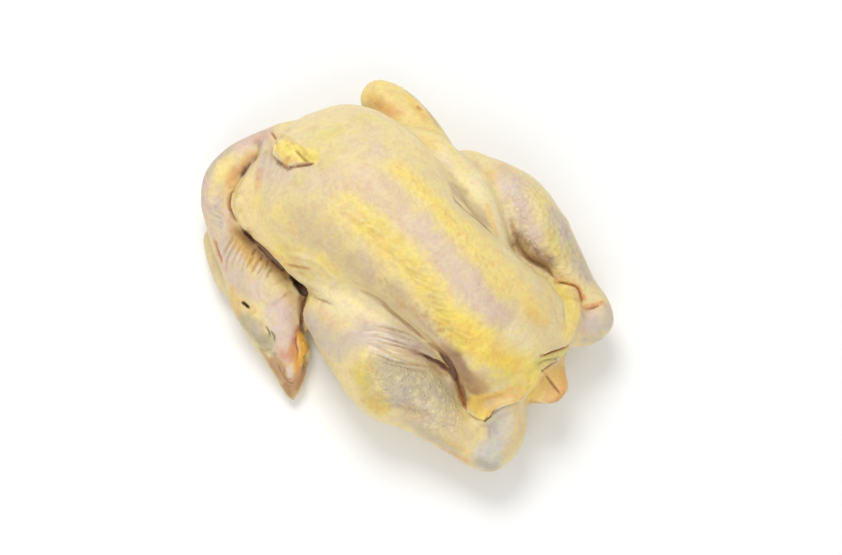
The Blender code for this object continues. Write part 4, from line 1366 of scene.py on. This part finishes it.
links.new(tone, shader.inputs["Base Color"])
print("nodes of the tone:", len(nodes))

# %% [markdown]
# Crinkles, goose pimples and pebbles are under a millimetre high, too fine for this mesh, so they
# are bumps in the material, laid over one another from wide to fine. All the larger forms are in
# the mesh itself.


# %% Relief of the skin
def bump(height, depth, below=None):
    """Relief of a depth in metres, over the relief below it."""
    made = nodes.new("ShaderNodeBump")
    made.inputs["Distance"].default_value = depth
    links.new(height, made.inputs["Height"])
    if below is not None:
        links.new(below, made.inputs["Normal"])
    return made.outputs["Normal"]


relief = bump(crinkle, 0.65 * MM)
relief = bump(times(dome, painted("follicles")), 0.55 * MM, relief)
relief = bump(times(pebble_top, painted("pebbles")), 0.7 * MM, relief)
relief = bump(grain, 0.12 * MM, relief)
links.new(relief, shader.inputs["Normal"])
print("nodes with the relief:", len(nodes))

# %% [markdown]
# Raw skin is moist and slightly see-through. So it has a soft gloss that changes a little from place
# to place, a thin wet coat, and light that scatters a few millimetres inside, red the farthest.

# %% Gloss and softness of the skin
links.new(ramp(blotches, [(0.3, 0.36), (0.7, 0.5)]), shader.inputs["Roughness"])
shader.inputs["Specular IOR Level"].default_value = 0.4
shader.inputs["Coat Weight"].default_value = 0.1
shader.inputs["Coat Roughness"].default_value = 0.25
shader.inputs["Subsurface Weight"].default_value = 0.18
shader.inputs["Subsurface Radius"].default_value = (1.0, 0.55, 0.25)
shader.inputs["Subsurface Scale"].default_value = 3.0 * MM
mesh.materials.append(skin)

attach(chicken, "root")
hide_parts("raw_chicken")
print("skin material:", len(nodes), "nodes")

# %% [markdown]
# The bird was photographed on white under a large soft light, so its shadows are faint and its top
# side is bright. One wide lamp stands above and beyond the bird, a weaker one fills the near side,
# and the pale floor and sky give the rest. The plain view transform keeps the white of the floor.

# %% Sky and lamps
SKY_STRENGTH = 0.57
KEY_SIZE, KEY_POWER = 0.6, 6.9
FILL_SIZE, FILL_POWER = 0.9, 3.9

world = bpy.data.worlds.new("pale sky")
bpy.context.scene.world = world
world.use_nodes = True
background = world.node_tree.nodes["Background"]
background.inputs["Color"].default_value = (1.0, 1.0, 1.0, 1)
background.inputs["Strength"].default_value = SKY_STRENGTH
bpy.context.scene.view_settings.view_transform = "Standard"


def soft_lamp(name, place, size, power):
    """A round lamp that faces the bird, with its size in metres and its power in watts."""
    lamp = bpy.data.objects.new(name, bpy.data.lights.new(name, "AREA"))
    lamp.data.shape = "DISK"
    lamp.data.size = size
    lamp.data.energy = power
    lamp.location = place
    lamp.rotation_euler = (VIEW_CENTRE - lamp.location).to_track_quat("-Z", "Y").to_euler()
    bpy.context.scene.collection.objects.link(lamp)


soft_lamp("high_key", Vector((0.25, 0.55, 1.05)), KEY_SIZE, KEY_POWER)
soft_lamp("near_fill", Vector((-0.6, -0.6, 0.8)), FILL_SIZE, FILL_POWER)
print("lamps:", KEY_POWER, "and", FILL_POWER, "watts")

# %% A pale floor
FLOOR_REACH = 2.5
FLOOR_GREY = 0.95
floor_mesh = bpy.data.meshes.new("floor")
floor_mesh.from_pydata([(-FLOOR_REACH, -FLOOR_REACH, 0), (FLOOR_REACH, -FLOOR_REACH, 0),
                        (FLOOR_REACH, FLOOR_REACH, 0), (-FLOOR_REACH, FLOOR_REACH, 0)], [], [(0, 1, 2, 3)])
floor = bpy.data.objects.new("floor", floor_mesh)
bpy.context.scene.collection.objects.link(floor)
pale = bpy.data.materials.new("pale floor")
pale.use_nodes = True
pale_shader = pale.node_tree.nodes["Principled BSDF"]
pale_shader.inputs["Base Color"].default_value = (FLOOR_GREY, FLOOR_GREY, FLOOR_GREY, 1)
pale_shader.inputs["Roughness"].default_value = 0.8
floor_mesh.materials.append(pale)
print("floor:", 2 * FLOOR_REACH, "m wide")
